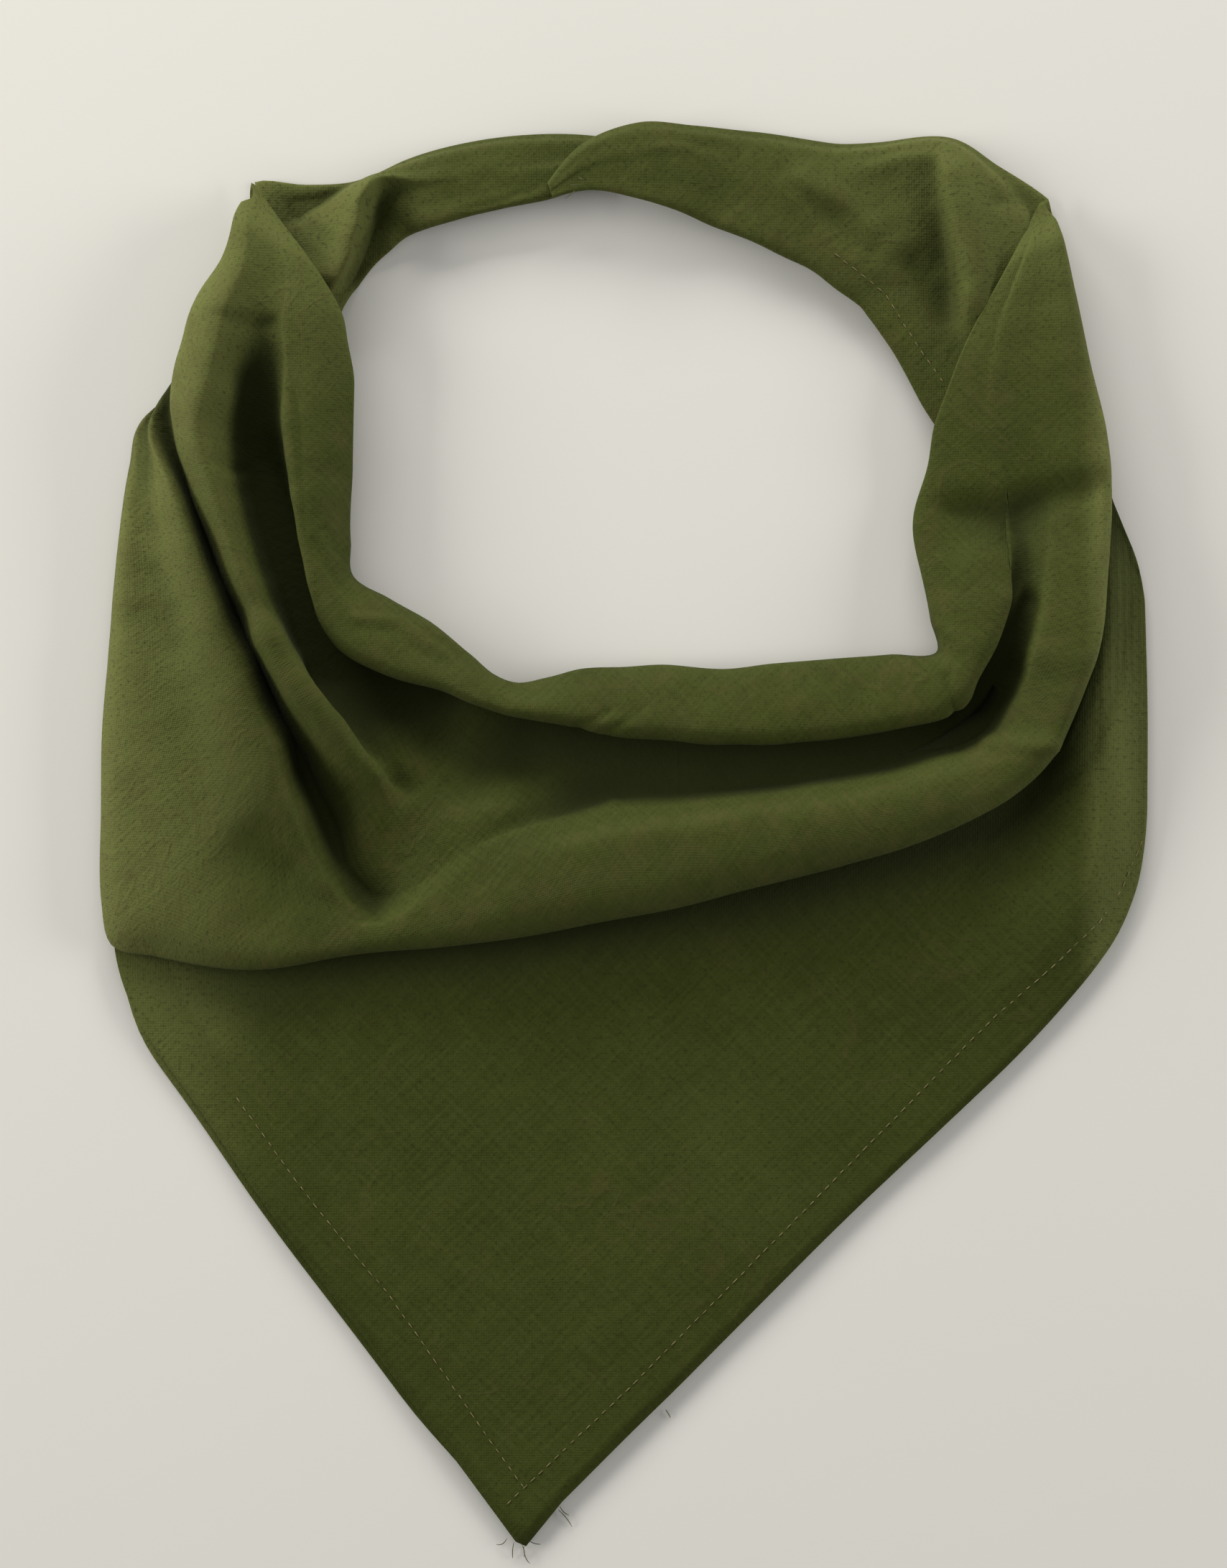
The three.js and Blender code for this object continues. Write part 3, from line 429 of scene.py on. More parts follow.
def front_folds(angle):
    """Distance out and height of each fold of the front's section at the angles, from under the
    neckline over the roll, valley, ridge and swag, back under the swag and out to the hem."""
    neck, fold, sway = neckline(angle), ridge(angle), swag(angle)
    base = mix(LAID, OVER_TAIL, np.clip(neck.over, 0, 1))
    start = NECK_RADIUS * neck.edge
    roll = ROLL_WIDTH * neck.roll
    roll_end = start + roll
    top = base + ROLL_HEIGHT * neck.top
    lip = base + ROLL_HEIGHT * neck.lip
    dip = base + ROLL_HEIGHT * neck.dip
    roll_tuck = ROLL_TUCK * np.maximum(0, neck.tuck)
    edge = swag_out(angle)
    tuck = SWAG_TUCK * sway.tuck
    crest = LAID + SWAG_HEIGHT * sway.crest
    drop = LAID + SWAG_HEIGHT * sway.lip
    lap = np.minimum(NECK_LAP, 0.3 * (edge - start))
    ridged = smooth(*RIDGE_FADE, angle)
    span, rise = edge - roll_end, crest - dip
    ridge_crest = mix(roll_end + 0.22 * span, roll_end + RIDGE_WIDTH * fold.crest, ridged)
    ridge_edge = mix(roll_end + 0.32 * span, ridge_out(angle), ridged)
    shoulder = mix(roll_end + 0.43 * span, ridge_edge + RIDGE_WIDTH * fold.shoulder, ridged)
    hung = smooth(*FRONT_HANGS, angle)

    def climb(early, late, share):
        """Height of a fold between the valley and the swag's crest: shares of the rise before and
        after the front hangs, and where the left ridge stands, a share of its height."""
        return mix(dip + mix(early, late, hung) * rise, LAID + RIDGE_HEIGHT * share, ridged)

    crest_up = climb(0.20, 0.04, fold.crest_up)
    edge_up = climb(0.42, 0.14, fold.edge_up)
    groove_up = climb(0.66, 0.34, fold.groove_up)
    shoulder_up = climb(0.85, 0.62, fold.shoulder_up)
    band = np.minimum(SWAG_BAND * sway.band, 0.8 * (edge - shoulder))
    valley = ridge_crest - roll_end
    hem = np.maximum(hem_out(angle), edge - 0.3 * tuck)
    flat = np.full_like(edge, OVER_HEM)
    folds = [
        (start + lap, base),
        (start + 0.4 * lap, base + 0.02 * (top - base)),
        (start, mix(base, top, 0.30)),
        (start + 0.14 * roll, mix(base, top, 0.62)),
        (start + 0.5 * roll, mix(base, top, 0.92)),
        (start + 0.86 * roll, top),
        (roll_end, lip),
        (roll_end + 0.06 * valley - 0.5 * roll_tuck, mix(lip, dip, 0.52)),
        (roll_end + 0.12 * valley - roll_tuck, mix(lip, dip, 0.76)),
        (roll_end + 0.2 * valley - 0.6 * roll_tuck, mix(lip, dip, 0.98)),
        (roll_end + 0.42 * valley, dip),
        (mix(roll_end, ridge_crest, 0.78), mix(dip, crest_up, 0.62)),
        (ridge_crest, crest_up),
        (ridge_edge, edge_up),
        (mix(ridge_edge, shoulder, mix(0.45, 0.3, ridged)), groove_up),
        (shoulder, shoulder_up),
        (edge - band, crest),
        (edge - 0.2 * band, mix(drop, crest, 0.86)),
        (edge, drop),
        (edge - 0.45 * tuck, mix(drop, OVER_HEM + CLOTH + GAP, 0.62)),
        (edge - tuck, mix(drop, OVER_HEM, 0.8)),
        (np.minimum(edge + 2, mix(edge - tuck, hem, 0.6)), flat),
        (hem, flat),
    ]
    return np.array(folds).transpose(2, 0, 1)


def along_folds(folds, steps):
    """Points on a smooth curve through each section's folds: a cubic whose knots are spaced by the
    square root of the distance between folds, with the given number of steps in each stretch."""
    before = 2 * folds[:, :1] - folds[:, 1:2]
    after = 2 * folds[:, -1:] - folds[:, -2:-1]
    padded = np.concatenate([before, folds, after], axis=1)
    run = np.maximum(np.linalg.norm(np.diff(padded, axis=1), axis=2), 1e-6)[..., None] ** 0.5
    points = []
    for i, count in enumerate(steps):
        p0, p1, p2, p3 = (padded[:, i + k, None] for k in range(4))
        d0, d1, d2 = (run[:, i + k, None] for k in range(3))
        m1 = ((p1 - p0) / d0 - (p2 - p0) / (d0 + d1) + (p2 - p1) / d1) * d1
        m2 = ((p2 - p1) / d1 - (p3 - p1) / (d1 + d2) + (p3 - p2) / d2) * d1
        t = (np.arange(count) / count)[None, :, None]
        points.append(
            (1 + 2 * t) * (1 - t) ** 2 * p1 + t * (1 - t) ** 2 * m1
            + t * t * (3 - 2 * t) * p2 + t * t * (t - 1) * m2
        )
    points.append(folds[:, -1:])
    return np.concatenate(points, axis=1)


def from_spokes(angle, section):
    """Points in space of sections of (distance out, height), one for each angle."""
    turn = np.radians(angle)[:, None]
    out, up = section[..., 0], section[..., 1]
    return np.stack([out * np.cos(turn), -out * np.sin(turn), up], axis=-1)


def spaced(anchors, longest):
    """Angles through the anchors with no step longer than the given one."""
    anchors = np.sort(anchors)
    counts = np.ceil(np.diff(anchors) / longest).astype(int)
    runs = [np.linspace(a, b, n, endpoint=False) for a, b, n in zip(anchors, anchors[1:], counts)]
    return np.concatenate(runs + [anchors[-1:]])


def ripple(x, y, wavelength, seed, waves=14):
    """Gentle uneven waves of height about 1: a sum of plane waves of near the same length in random
    directions."""
    rng = np.random.default_rng(seed)
    turn = rng.uniform(0, np.pi, waves)
    pace = 2 * np.pi / (wavelength * rng.uniform(0.7, 1.4, waves))
    phase = rng.uniform(0, 2 * np.pi, waves)
    total = np.zeros_like(x)
    for t, p, f in zip(turn, pace, phase):
        total += np.sin(p * (x * np.cos(t) + y * np.sin(t)) + f)
    return total / np.sqrt(waves)


def crease_height(x, y, creases):
    """Sum of creases. Each is a bell across the line through its points, with its own width to the
    left and to the right of the line, and fades at both ends."""
    total = np.zeros_like(x)
    for points, left, right, height in creases:
        line = np.array(points, float)
        starts, runs = line[:-1], np.diff(line, axis=0)
        lengths = np.hypot(*runs.T)
        done = np.concatenate([[0], np.cumsum(lengths)])
        nearest = np.full(x.shape, np.inf)
        side = np.zeros_like(x)
        place = np.zeros_like(x)
        for (sx, sy), (rx, ry), length, before in zip(starts, runs, lengths, done):
            t = np.clip(((x - sx) * rx + (y - sy) * ry) / length ** 2, 0, 1)
            away = np.hypot(x - sx - t * rx, y - sy - t * ry)
            closer = away < nearest
            place = np.where(closer, (before + t * length) / done[-1], place)
            side = np.where(closer, rx * (y - sy) - ry * (x - sx), side)
            nearest = np.minimum(away, nearest)
        ends = smooth(0, 0.18, place) * smooth(1, 0.82, place)
        total += height * ends * np.exp(-((nearest / np.where(side > 0, left, right)) ** 2))
    return total


def grid_normals(points):
    """Unit normals of a grid of points, from the cross product of its two directions."""
    normal = np.cross(np.gradient(points, axis=0), np.gradient(points, axis=1))
    length = np.maximum(np.linalg.norm(normal, axis=-1, keepdims=True), 1e-9)
    return normal / length


def curvature(points):
    """How far each point of a grid stands above the mean of its neighbours along the section, in mm."""
    step = 3
    near = np.pad(points, ((0, 0), (step, step), (0, 0)), mode="edge")
    middle = 0.5 * (near[:, 2 * step:] + near[:, :-2 * step])
    return ((points - middle) * grid_normals(points)).sum(-1)


def hollows(points, cell=2.5, reach=12.0):
    """How far each point lies below the soft mean of the heights around it, in mm: the heights are
    put on a square grid, which is blurred as by a bell of the given reach."""
    margin = 3 * reach
    index = np.floor((points[..., :2] - points[..., :2].min((0, 1)) + margin) / cell).astype(int)
    i, j = index[..., 0], index[..., 1]
    heights = np.zeros((i.max() + int(margin / cell), j.max() + int(margin / cell)))
    np.maximum.at(heights, (i, j), points[..., 2])
    pace_x = np.fft.fftfreq(heights.shape[0], cell)[:, None]
    pace_y = np.fft.rfftfreq(heights.shape[1], cell)[None, :]
    bell = np.exp(-2 * (np.pi * reach) ** 2 * (pace_x ** 2 + pace_y ** 2))
    soft = np.fft.irfft2(np.fft.rfft2(heights) * bell, s=heights.shape)
    return soft[i, j] - points[..., 2]


def under_outline(angle):
    """Distances out of the under ply's inner and outer edges."""
    inner = NECK_RADIUS * neckline(angle).edge + CLOTH
    reach = np.maximum(hem_out(angle), swag_out(angle) - CLOTH)
    peek = smooth(97, 104, angle) * (1 - smooth(128, 136, angle))
    return inner, reach + mix(-CLOTH, UNDER_PEEK, peek)


def loop_middle():
    """Where the loop's middle is in the frame: the under ply's low corner is set on its solid's."""
    angle = spaced(np.concatenate([[UNDER_FROM, UNDER_TO], corner_angles()[2:-2]]), 1)
    inner, outer = under_outline(angle)
    edge = from_spokes(angle, np.stack([outer, outer], axis=-1)[:, None])[:, 0, :2]
    low = np.array(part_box("under_ply")[0])[:2] / MM
    return np.append(low - edge.min(0), 0.0)


MIDDLE = loop_middle()


class Cloth:
    """A grid of points in mm from the loop's middle, made into a mesh with a cloth map and other
    marks: values at each point that its material reads."""

    def __init__(self, name, points, cloth_map, flip=False, wall=PLY, **marks):
        rows, columns = points.shape[:2]
        index = np.arange(rows * columns).reshape(rows, columns)
        corners = [index[:-1, :-1], index[1:, :-1], index[1:, 1:], index[:-1, 1:]]
        faces = np.stack(corners[::-1] if flip else corners, axis=-1).reshape(-1, 4)
        mesh = bpy.data.meshes.new(name)
        mesh.from_pydata(((points + MIDDLE) * MM).reshape(-1, 3), [], faces)
        mesh.polygons.foreach_set("use_smooth", np.ones(len(faces), bool))
        layer = mesh.uv_layers.new(name="cloth")
        layer.data.foreach_set("uv", (cloth_map.reshape(-1, 2) * MM)[faces.reshape(-1)].reshape(-1))
        for label, values in marks.items():
            attribute = mesh.attributes.new(label, "FLOAT", "POINT")
            attribute.data.foreach_set("value", values.reshape(-1).astype(np.float32))
        self.object = bpy.data.objects.new(name, mesh)
        bpy.context.scene.collection.objects.link(self.object)
        solid = self.object.modifiers.new("wall", "SOLIDIFY")
        solid.thickness = wall * MM
        solid.offset = 0


def front_cloth():
    """The upper ply from peak to peak, with its creases and the soft unevenness of worn cotton."""
    before = spaced([FRONT_FROM, FRONT_SIDES[0]], 0.53)
    after = spaced([FRONT_SIDES[1], FRONT_TO], 0.57)
    between = spaced(np.concatenate([FRONT_SIDES, corner_angles()[TIP_CORNERS]]), 1.0)
    angle = np.concatenate([before[:-1], between, after[1:]])
    section = along_folds(front_folds(angle), FRONT_STEPS)
    openness = np.minimum(angle - FRONT_FROM, FRONT_TO - angle)[:, None]
    first = NECK_RADIUS * neckline(angle).edge[:, None]
    last = section[..., 0].max(1, keepdims=True)
    share = np.linspace(0, 1, section.shape[1])[None, :]
    out = mix(mix(first, last, share), section[..., 0], smooth(0.2, 3, openness))
    up = mix(PEAK_HEIGHT, section[..., 1], smooth(0, 6, openness))
    points = from_spokes(angle, np.stack([out, up], axis=-1))
    x, y = points[..., 0], points[..., 1]

    # The drape's creases fade out at the neckline, the swag's edge and the peaks
    place = np.arange(section.shape[1])[None, :]
    edge_at = sum(FRONT_STEPS[:SWAG_EDGE])
    drape = smooth(6, 12, place) * (1 - smooth(edge_at - 4, edge_at, place)) * smooth(1, 6, openness)
    tuck_at = sum(FRONT_STEPS[:TUCK])
    panel = (place > tuck_at) * smooth(-8, 6, out - swag_out(angle)[:, None])
    drape_relief = crease_height(x, y, DRAPE_CREASES)
    drape_relief = drape_relief + 0.30 * ripple(x, y, 42, 3) + 0.14 * ripple(x, y, 15, 4)
    panel_relief = crease_height(x, y, PANEL_CREASES)
    panel_relief = panel_relief + 0.22 * (1 + ripple(x, y, 70, 5)) + 0.05 * ripple(x, y, 18, 6)
    inside = hem_out(angle)[:, None] - out
    margin = smooth(4, 14, angle) * (1 - smooth(34, 62, angle))
    curl = MARGIN_LIFT * margin[:, None] * smooth(0, MARGIN_WIDTH, inside)
    curl = curl * (1 - smooth(1.4 * MARGIN_WIDTH, 3 * MARGIN_WIDTH, inside))
    facing = grid_normals(points)
    up_side = np.sign(facing[len(angle) // 2, sum(FRONT_STEPS[:ROLL_TOP]), 2])
    facing = facing * up_side
    points = points + facing * (drape * drape_relief)[..., None]
    points[..., 2] += panel * (np.clip(panel_relief, -0.2, 2) + curl)
    points[..., 2] = np.maximum(points[..., 2], LOWEST)

    steps = np.linalg.norm(np.diff(section, axis=1), axis=-1)
    travelled = np.concatenate([np.zeros((len(angle), 1)), np.cumsum(steps, axis=1)], axis=1)
    along = mix(first + travelled, out, smooth(edge_at + 1, tuck_at, place))
    turn = np.radians(angle)[:, None]
    cloth_map = np.stack([along * np.cos(turn), -along * np.sin(turn)], axis=-1)
    seam = np.where(place > edge_at + 3, seam_distance(x, y), 90.0)
    wear = np.clip(up_side * curvature(points) * drape, 0, 1.5)
    # Depth below the surroundings, which the material uses for painted shade in hollows and a painted
    # highlight on raised parts
    marks = {"seam": seam, "wear": wear, "painted_shade_depth": hollows(points)}
    return Cloth("front_drape_cloth", points, cloth_map, up_side < 0, **marks), points[:, tuck_at:]


def seam_distance(x, y):
    """Distance in from the hem's outline, to its straight stretches."""
    line = HEM_CORNERS * PANEL_RADIUS
    nearest = np.full(x.shape, 90.0)
    for (ax, ay), (bx, by) in zip(line[:-1], line[1:]):
        length = np.hypot(bx - ax, by - ay)
        t = np.clip(((x - ax) * (bx - ax) + (y - ay) * (by - ay)) / length ** 2, 0, 1)
        away = np.hypot(x - ax - t * (bx - ax), y - ay - t * (by - ay))
        nearest = np.minimum(nearest, away)
    return nearest


def under_cloth():
    """The under ply, flat on the table from the neckline to a little outside the panel's left hem."""
    angle = spaced(np.concatenate([[UNDER_FROM, UNDER_TO], corner_angles()[TIP_CORNERS]]), 1.1)
    inner, outer = under_outline(angle)
    share = np.linspace(0, 1, 60)[None, :]
    out = mix(inner[:, None], outer[:, None], share)
    points = from_spokes(angle, np.stack([out, np.full_like(out, 0.5 * PLY)], axis=-1))
    x, y = points[..., 0], points[..., 1]
    points[..., 2] += 0.02 * (3 + ripple(x, y, 40, 8))
    seam = seam_distance(x, y)
    facing = grid_normals(points)[len(angle) // 2, 20, 2]
    return Cloth("under_ply_cloth", points, points[..., :2], facing < 0, seam=seam)


def hem_cloth(name, first, last):
    """A turned hem between the two plies: a strip HEM_WIDTH deep that follows the panel's edge."""
    corners = corner_angles()
    inside = corners[(corners > first + 1) & (corners < last - 1)]
    angle = spaced(np.concatenate([[first, last], inside]), 1)
    outer = hem_out(angle) - CLOTH
    share = np.linspace(0, 1, 8)[None, :]
    out = mix(outer[:, None] - HEM_WIDTH + 1, outer[:, None], share)
    points = from_spokes(angle, np.stack([out, np.full_like(out, HEM_MIDDLE)], axis=-1))
    points[..., 2] += 0.04 * ripple(points[..., 0], points[..., 1], 12, 11)
    facing = grid_normals(points)[len(angle) // 2, 4, 2]
    return Cloth(name, points, points[..., :2], facing < 0, HEM_PLY)


def tail_folds(rows, angle):
    """Distance out and height of each fold of a tail's section: the lower ply from the open inner
    edge to the outer fold, and the upper ply back over it with its raised pleat."""
    tail = curve_through(rows, TAIL_COLUMNS)(angle)
    inner = NECK_RADIUS * tail.inner
    free = inner + TAIL_WIDTH * tail.width
    peaks = (1 - smooth(-18, -26, angle)) * (1 - smooth(203, 209, angle))
    room = swag_out(angle) - CURL_ROOM * peaks
    covered = (angle > FRONT_FROM) & (angle < FRONT_TO)
    outer = np.where(covered, np.minimum(free, room), free)
    pleat_out = mix(inner, outer, tail.pleat_out)
    pleat_in = mix(inner, outer, tail.pleat_in)
    floor = CLOTH / 2 + TAIL_CROSS * np.clip(tail.under, 0, 1)
    height = TAIL_HEIGHT - CLOTH
    width = outer - inner
    folds = [
        (inner + 0.06 * width, floor),
        (mix(inner, outer, 0.5), floor),
        (mix(inner, outer, 0.9), floor),
        (outer, floor + 0.5 * height * tail.rim),
        (mix(outer, pleat_out, 0.5), floor + height * tail.rim),
        (pleat_out, floor + height * tail.flap),
        (mix(pleat_out, pleat_in, 0.5), floor + height * mix(tail.flap, tail.pleat, 0.6)),
        (pleat_in, floor + height * tail.pleat),
        (mix(pleat_in, inner, 0.2), floor + height * tail.dip),
        (mix(pleat_in, inner, 0.55), floor + height * mix(tail.dip, tail.inside, 0.3)),
        (inner, floor + height * tail.inside),
        (inner + 0.02 * width, floor + 0.25 * height * tail.inside),
    ]
    return np.array(folds).transpose(2, 0, 1)


def tail_cloth(name, rows, creases, seed):
    """A tail: the cloth's end folded along its outer edge, with a pleat and small creases."""
    ends = [rows[0][0], rows[-1][0]]
    angle = spaced(ends, 0.7)
    section = along_folds(tail_folds(rows, angle), TAIL_STEPS)
    points = from_spokes(angle, section)
    x, y = points[..., 0], points[..., 1]
    place = np.arange(section.shape[1])[None, :]
    shown = smooth(16, 22, place)
    relief = crease_height(x, y, creases) + 0.16 * ripple(x, y, 26, seed)
    relief = relief + 0.08 * ripple(x, y, 9, seed + 1)
    points[..., 2] += shown * relief
    points[..., 2] = np.maximum(points[..., 2], 0.5 * PLY)
    facing = grid_normals(points)
    up_side = np.sign(np.median(facing[:, sum(TAIL_STEPS[:PLEAT_FOOT]), 2]))
    wear = np.clip(up_side * curvature(points) * shown, 0, 1.5)
    # Depth below the surroundings, which the material uses for painted shade in hollows and a painted
    # highlight on raised parts
    marks = {"wear": wear, "painted_shade_depth": hollows(points, reach=8.0)}
    top = points[:, sum(TAIL_STEPS[:PLEAT]):]
    return Cloth(name, points, points[..., :2], up_side < 0, **marks), top


front, panel_top = front_cloth()
under = under_cloth()
right_hem = hem_cloth("right_hem_cloth", *RIGHT_HEM)
left_hem = hem_cloth("left_hem_cloth", *LEFT_HEM)
left_tail, _ = tail_cloth("left_tail_cloth", LEFT_TAIL, LEFT_TAIL_CREASES, 21)
right_tail, right_tail_top = tail_cloth("right_tail_cloth", RIGHT_TAIL, RIGHT_TAIL_CREASES, 31)


class Threads:
    """Round threads along paths of points in mm from the loop's middle, all with as many points: a
    ring of points square to the path at each, thinner towards the closed ends."""

    def __init__(self, name, paths, radius, sides=6):
        along = np.gradient(paths, axis=1)
        along /= np.linalg.norm(along, axis=-1, keepdims=True)
        side = np.cross(along, (0, 0, 1))
        side /= np.linalg.norm(side, axis=-1, keepdims=True)
        up = np.cross(side, along)
        turn = np.linspace(0, 2 * np.pi, sides, endpoint=False)[:, None]
        share = np.linspace(-1, 1, paths.shape[1])
        thick = (radius * np.sqrt(1 - 0.8 * share ** 2))[:, None, None]
        spread = np.cos(turn) * side[:, :, None] + np.sin(turn) * up[:, :, None]
        rings = paths[:, :, None] + thick * spread
        index = np.arange(rings[..., 0].size).reshape(rings.shape[:3])
        beside = np.roll(index, -1, axis=2)
        corners = [index[:, :-1], index[:, 1:], beside[:, 1:], beside[:, :-1]]
        faces = np.stack(corners, axis=-1).reshape(-1, 4).tolist()
        faces += index[:, 0].tolist() + index[:, -1, ::-1].tolist()
        mesh = bpy.data.meshes.new(name)
        mesh.from_pydata(((rings + MIDDLE) * MM).reshape(-1, 3), [], faces)
        mesh.polygons.foreach_set("use_smooth", np.ones(len(faces), bool))
        self.object = bpy.data.objects.new(name, mesh)
        bpy.context.scene.collection.objects.link(self.object)


def even_places(line, pitch):
    """Places every pitch along a line of points, with the line's direction at each."""
    line = np.array(line, float)
    runs = np.diff(line, axis=0)
    done = np.concatenate([[0], np.cumsum(np.hypot(*runs.T))])
    at = np.arange(0.5 * pitch, done[-1], pitch)
    places = np.stack([np.interp(at, done, line[:, k]) for k in (0, 1)], axis=-1)
    ways = runs[np.clip(np.searchsorted(done, at) - 1, 0, len(runs) - 1)]
    return places, ways / np.hypot(*ways.T)[:, None]


def resting_on(surface, x, y):
    """Height of the surface's nearest point to each place."""
    flat = surface.reshape(-1, 3)
    away = (x.reshape(-1, 1) - flat[:, 0]) ** 2 + (y.reshape(-1, 1) - flat[:, 1]) ** 2
    return flat[away.argmin(1), 2].reshape(x.shape)


def stitches(name, lines, surface, seed):
    """Rows of small stitches along lines: short threads that dip into the cloth at their ends."""
    rng = np.random.default_rng(seed)
    found = [even_places(line, STITCH_PITCH) for line in lines]
    places, ways = (np.concatenate(parts) for parts in zip(*found))
    share = np.linspace(-1, 1, 5)
    length = 0.5 * STITCH_LENGTH * rng.uniform(0.75, 1.1, (len(places), 1))
    aside = rng.uniform(-0.12, 0.12, (len(places), 1))
    x = places[:, :1] + ways[:, :1] * length * share - ways[:, 1:] * aside
    y = places[:, 1:] + ways[:, 1:] * length * share + ways[:, :1] * aside
    lift = PLY / 2 + STITCH_RADIUS * (0.9 - 1.6 * share ** 2)
    z = resting_on(surface, x, y) + lift
    return Threads(name, np.stack([x, y, z], axis=-1), STITCH_RADIUS)


def loose_threads(name, starts, surface, seed):
    """Frayed threads: each bends once on its way out from its start along its direction."""
    rng = np.random.default_rng(seed)
    starts = np.array(starts, float)
    t = np.linspace(0, 1, 9)
    turn = np.radians(starts[:, 2:3]) + rng.uniform(-0.5, 0.5, (len(starts), 1)) * (t - 0.2) * 2
    step = starts[:, 3:4] / 8
    x = starts[:, :1] + np.cumsum(step * np.cos(turn), axis=1)
    y = starts[:, 1:2] + np.cumsum(step * np.sin(turn), axis=1)
    z = 0.4 + rng.uniform(0.5, 1.6, (len(starts), 1)) * np.sin(np.pi * t)
    if surface is not None:
        z = z + resting_on(surface, x, y)
    return Threads(name, np.stack([x, y, z], axis=-1), FRAY_RADIUS)


hem_stitches = stitches("hem_stitches", HEM_STITCHES, panel_top, 41)
tail_stitches = stitches("tail_stitches", TAIL_STITCHES, right_tail_top, 42)
tip_frays = loose_threads("tip_frays", TIP_FRAYS, None, 43)
top_frays = loose_threads("top_frays", TOP_FRAYS, right_tail_top, 44)


class Value:
    """A shader value. Sums, differences and products of it add the Math nodes."""

    def __init__(self, finish, socket):
        self.finish, self.socket = finish, socket

    def math(self, operation, *others):
        """A Math node of this value and the others."""
        values = dict(enumerate((self, *others)))
        return self.finish.node("ShaderNodeMath", {"operation": operation}, values)

    def __add__(self, other):
        return self.math("ADD", other)

    __radd__ = __add__

    def __mul__(self, other):
        return self.math("MULTIPLY", other)

    __rmul__ = __mul__

    def __sub__(self, other):
        return self.math("SUBTRACT", other)

    def __rsub__(self, other):
        return self * -1 + other

    def between(self, low, high):
        """0 below low, 1 above high and an S-curve between them."""
        settings = {"interpolation_type": "SMOOTHSTEP"}
        values = {"Value": self, "From Min": low, "From Max": high}
        return self.finish.node("ShaderNodeMapRange", settings, values)


class Finish:
    """A material and the nodes in it."""

    def __init__(self, name):
        self.material = bpy.data.materials.new(name)
        self.material.use_nodes = True
        self.tree = self.material.node_tree
        self.shader = self.tree.nodes["Principled BSDF"]

    def node(self, kind, settings=None, values=None, out=0):
        """Adds a node: its settings first, then the values or links of its sockets."""
        made = self.tree.nodes.new(kind)
        for name, setting in (settings or {}).items():
            setattr(made, name, setting)
        for name, value in (values or {}).items():
            self.feed(made.inputs[name], value)
        return Value(self, made.outputs[out])

    def feed(self, socket, value):
        """Links a shader value to a socket, or sets the socket to a plain one."""
        if isinstance(value, Value):
            self.tree.links.new(value.socket, socket)
        else:
            socket.default_value = value

    def blend(self, a, b, share):
        """Mixes two colours."""
        return self.node("ShaderNodeMix", {"data_type": "RGBA"}, {0: share, 6: a, 7: b}, 2)

    def part(self, vector, axis):
        """One of a vector's three parts."""
        return self.node("ShaderNodeSeparateXYZ", None, {0: vector}, axis)

    def mark(self, label):
        """A mark of the cloth, as Cloth stored it."""
        return self.node("ShaderNodeAttribute", {"attribute_name": label}, out=2)

    def noise(self, place, scale, detail=2.0, roughness=0.5, distortion=0.0):
        """A soft random pattern at a place."""
        values = {"Vector": place, "Scale": scale, "Detail": detail}
        values |= {"Roughness": roughness, "Distortion": distortion}
        return self.node("ShaderNodeTexNoise", None, values)

    def shaped(self, **values):
        """Sets sockets of the shader by their names, with _ for a space."""
        for name, value in values.items():
            self.feed(self.shader.inputs[name.replace("_", " ")], value)
        return self.material


# Pitch of the weave in m, and its turn in radians: the threads run at 45 degrees to the fold
THREAD_PITCH, WEAVE_TURN = 0.00056, 0.785
OLIVE = (0.0430, 0.0542, 0.0062, 1)
OLIVE_DEEP = (0.0355, 0.0445, 0.0048, 1)
# Dark flecks, and also the painted shade in hollows
OLIVE_DARK_AND_SHADE = (0.020, 0.024, 0.004, 1)
OLIVE_WORN = (0.085, 0.070, 0.020, 1)
# Paler yarn and dye, and also painted light and painted highlights
OLIVE_FADED_AND_LIT = (0.118, 0.130, 0.033, 1)


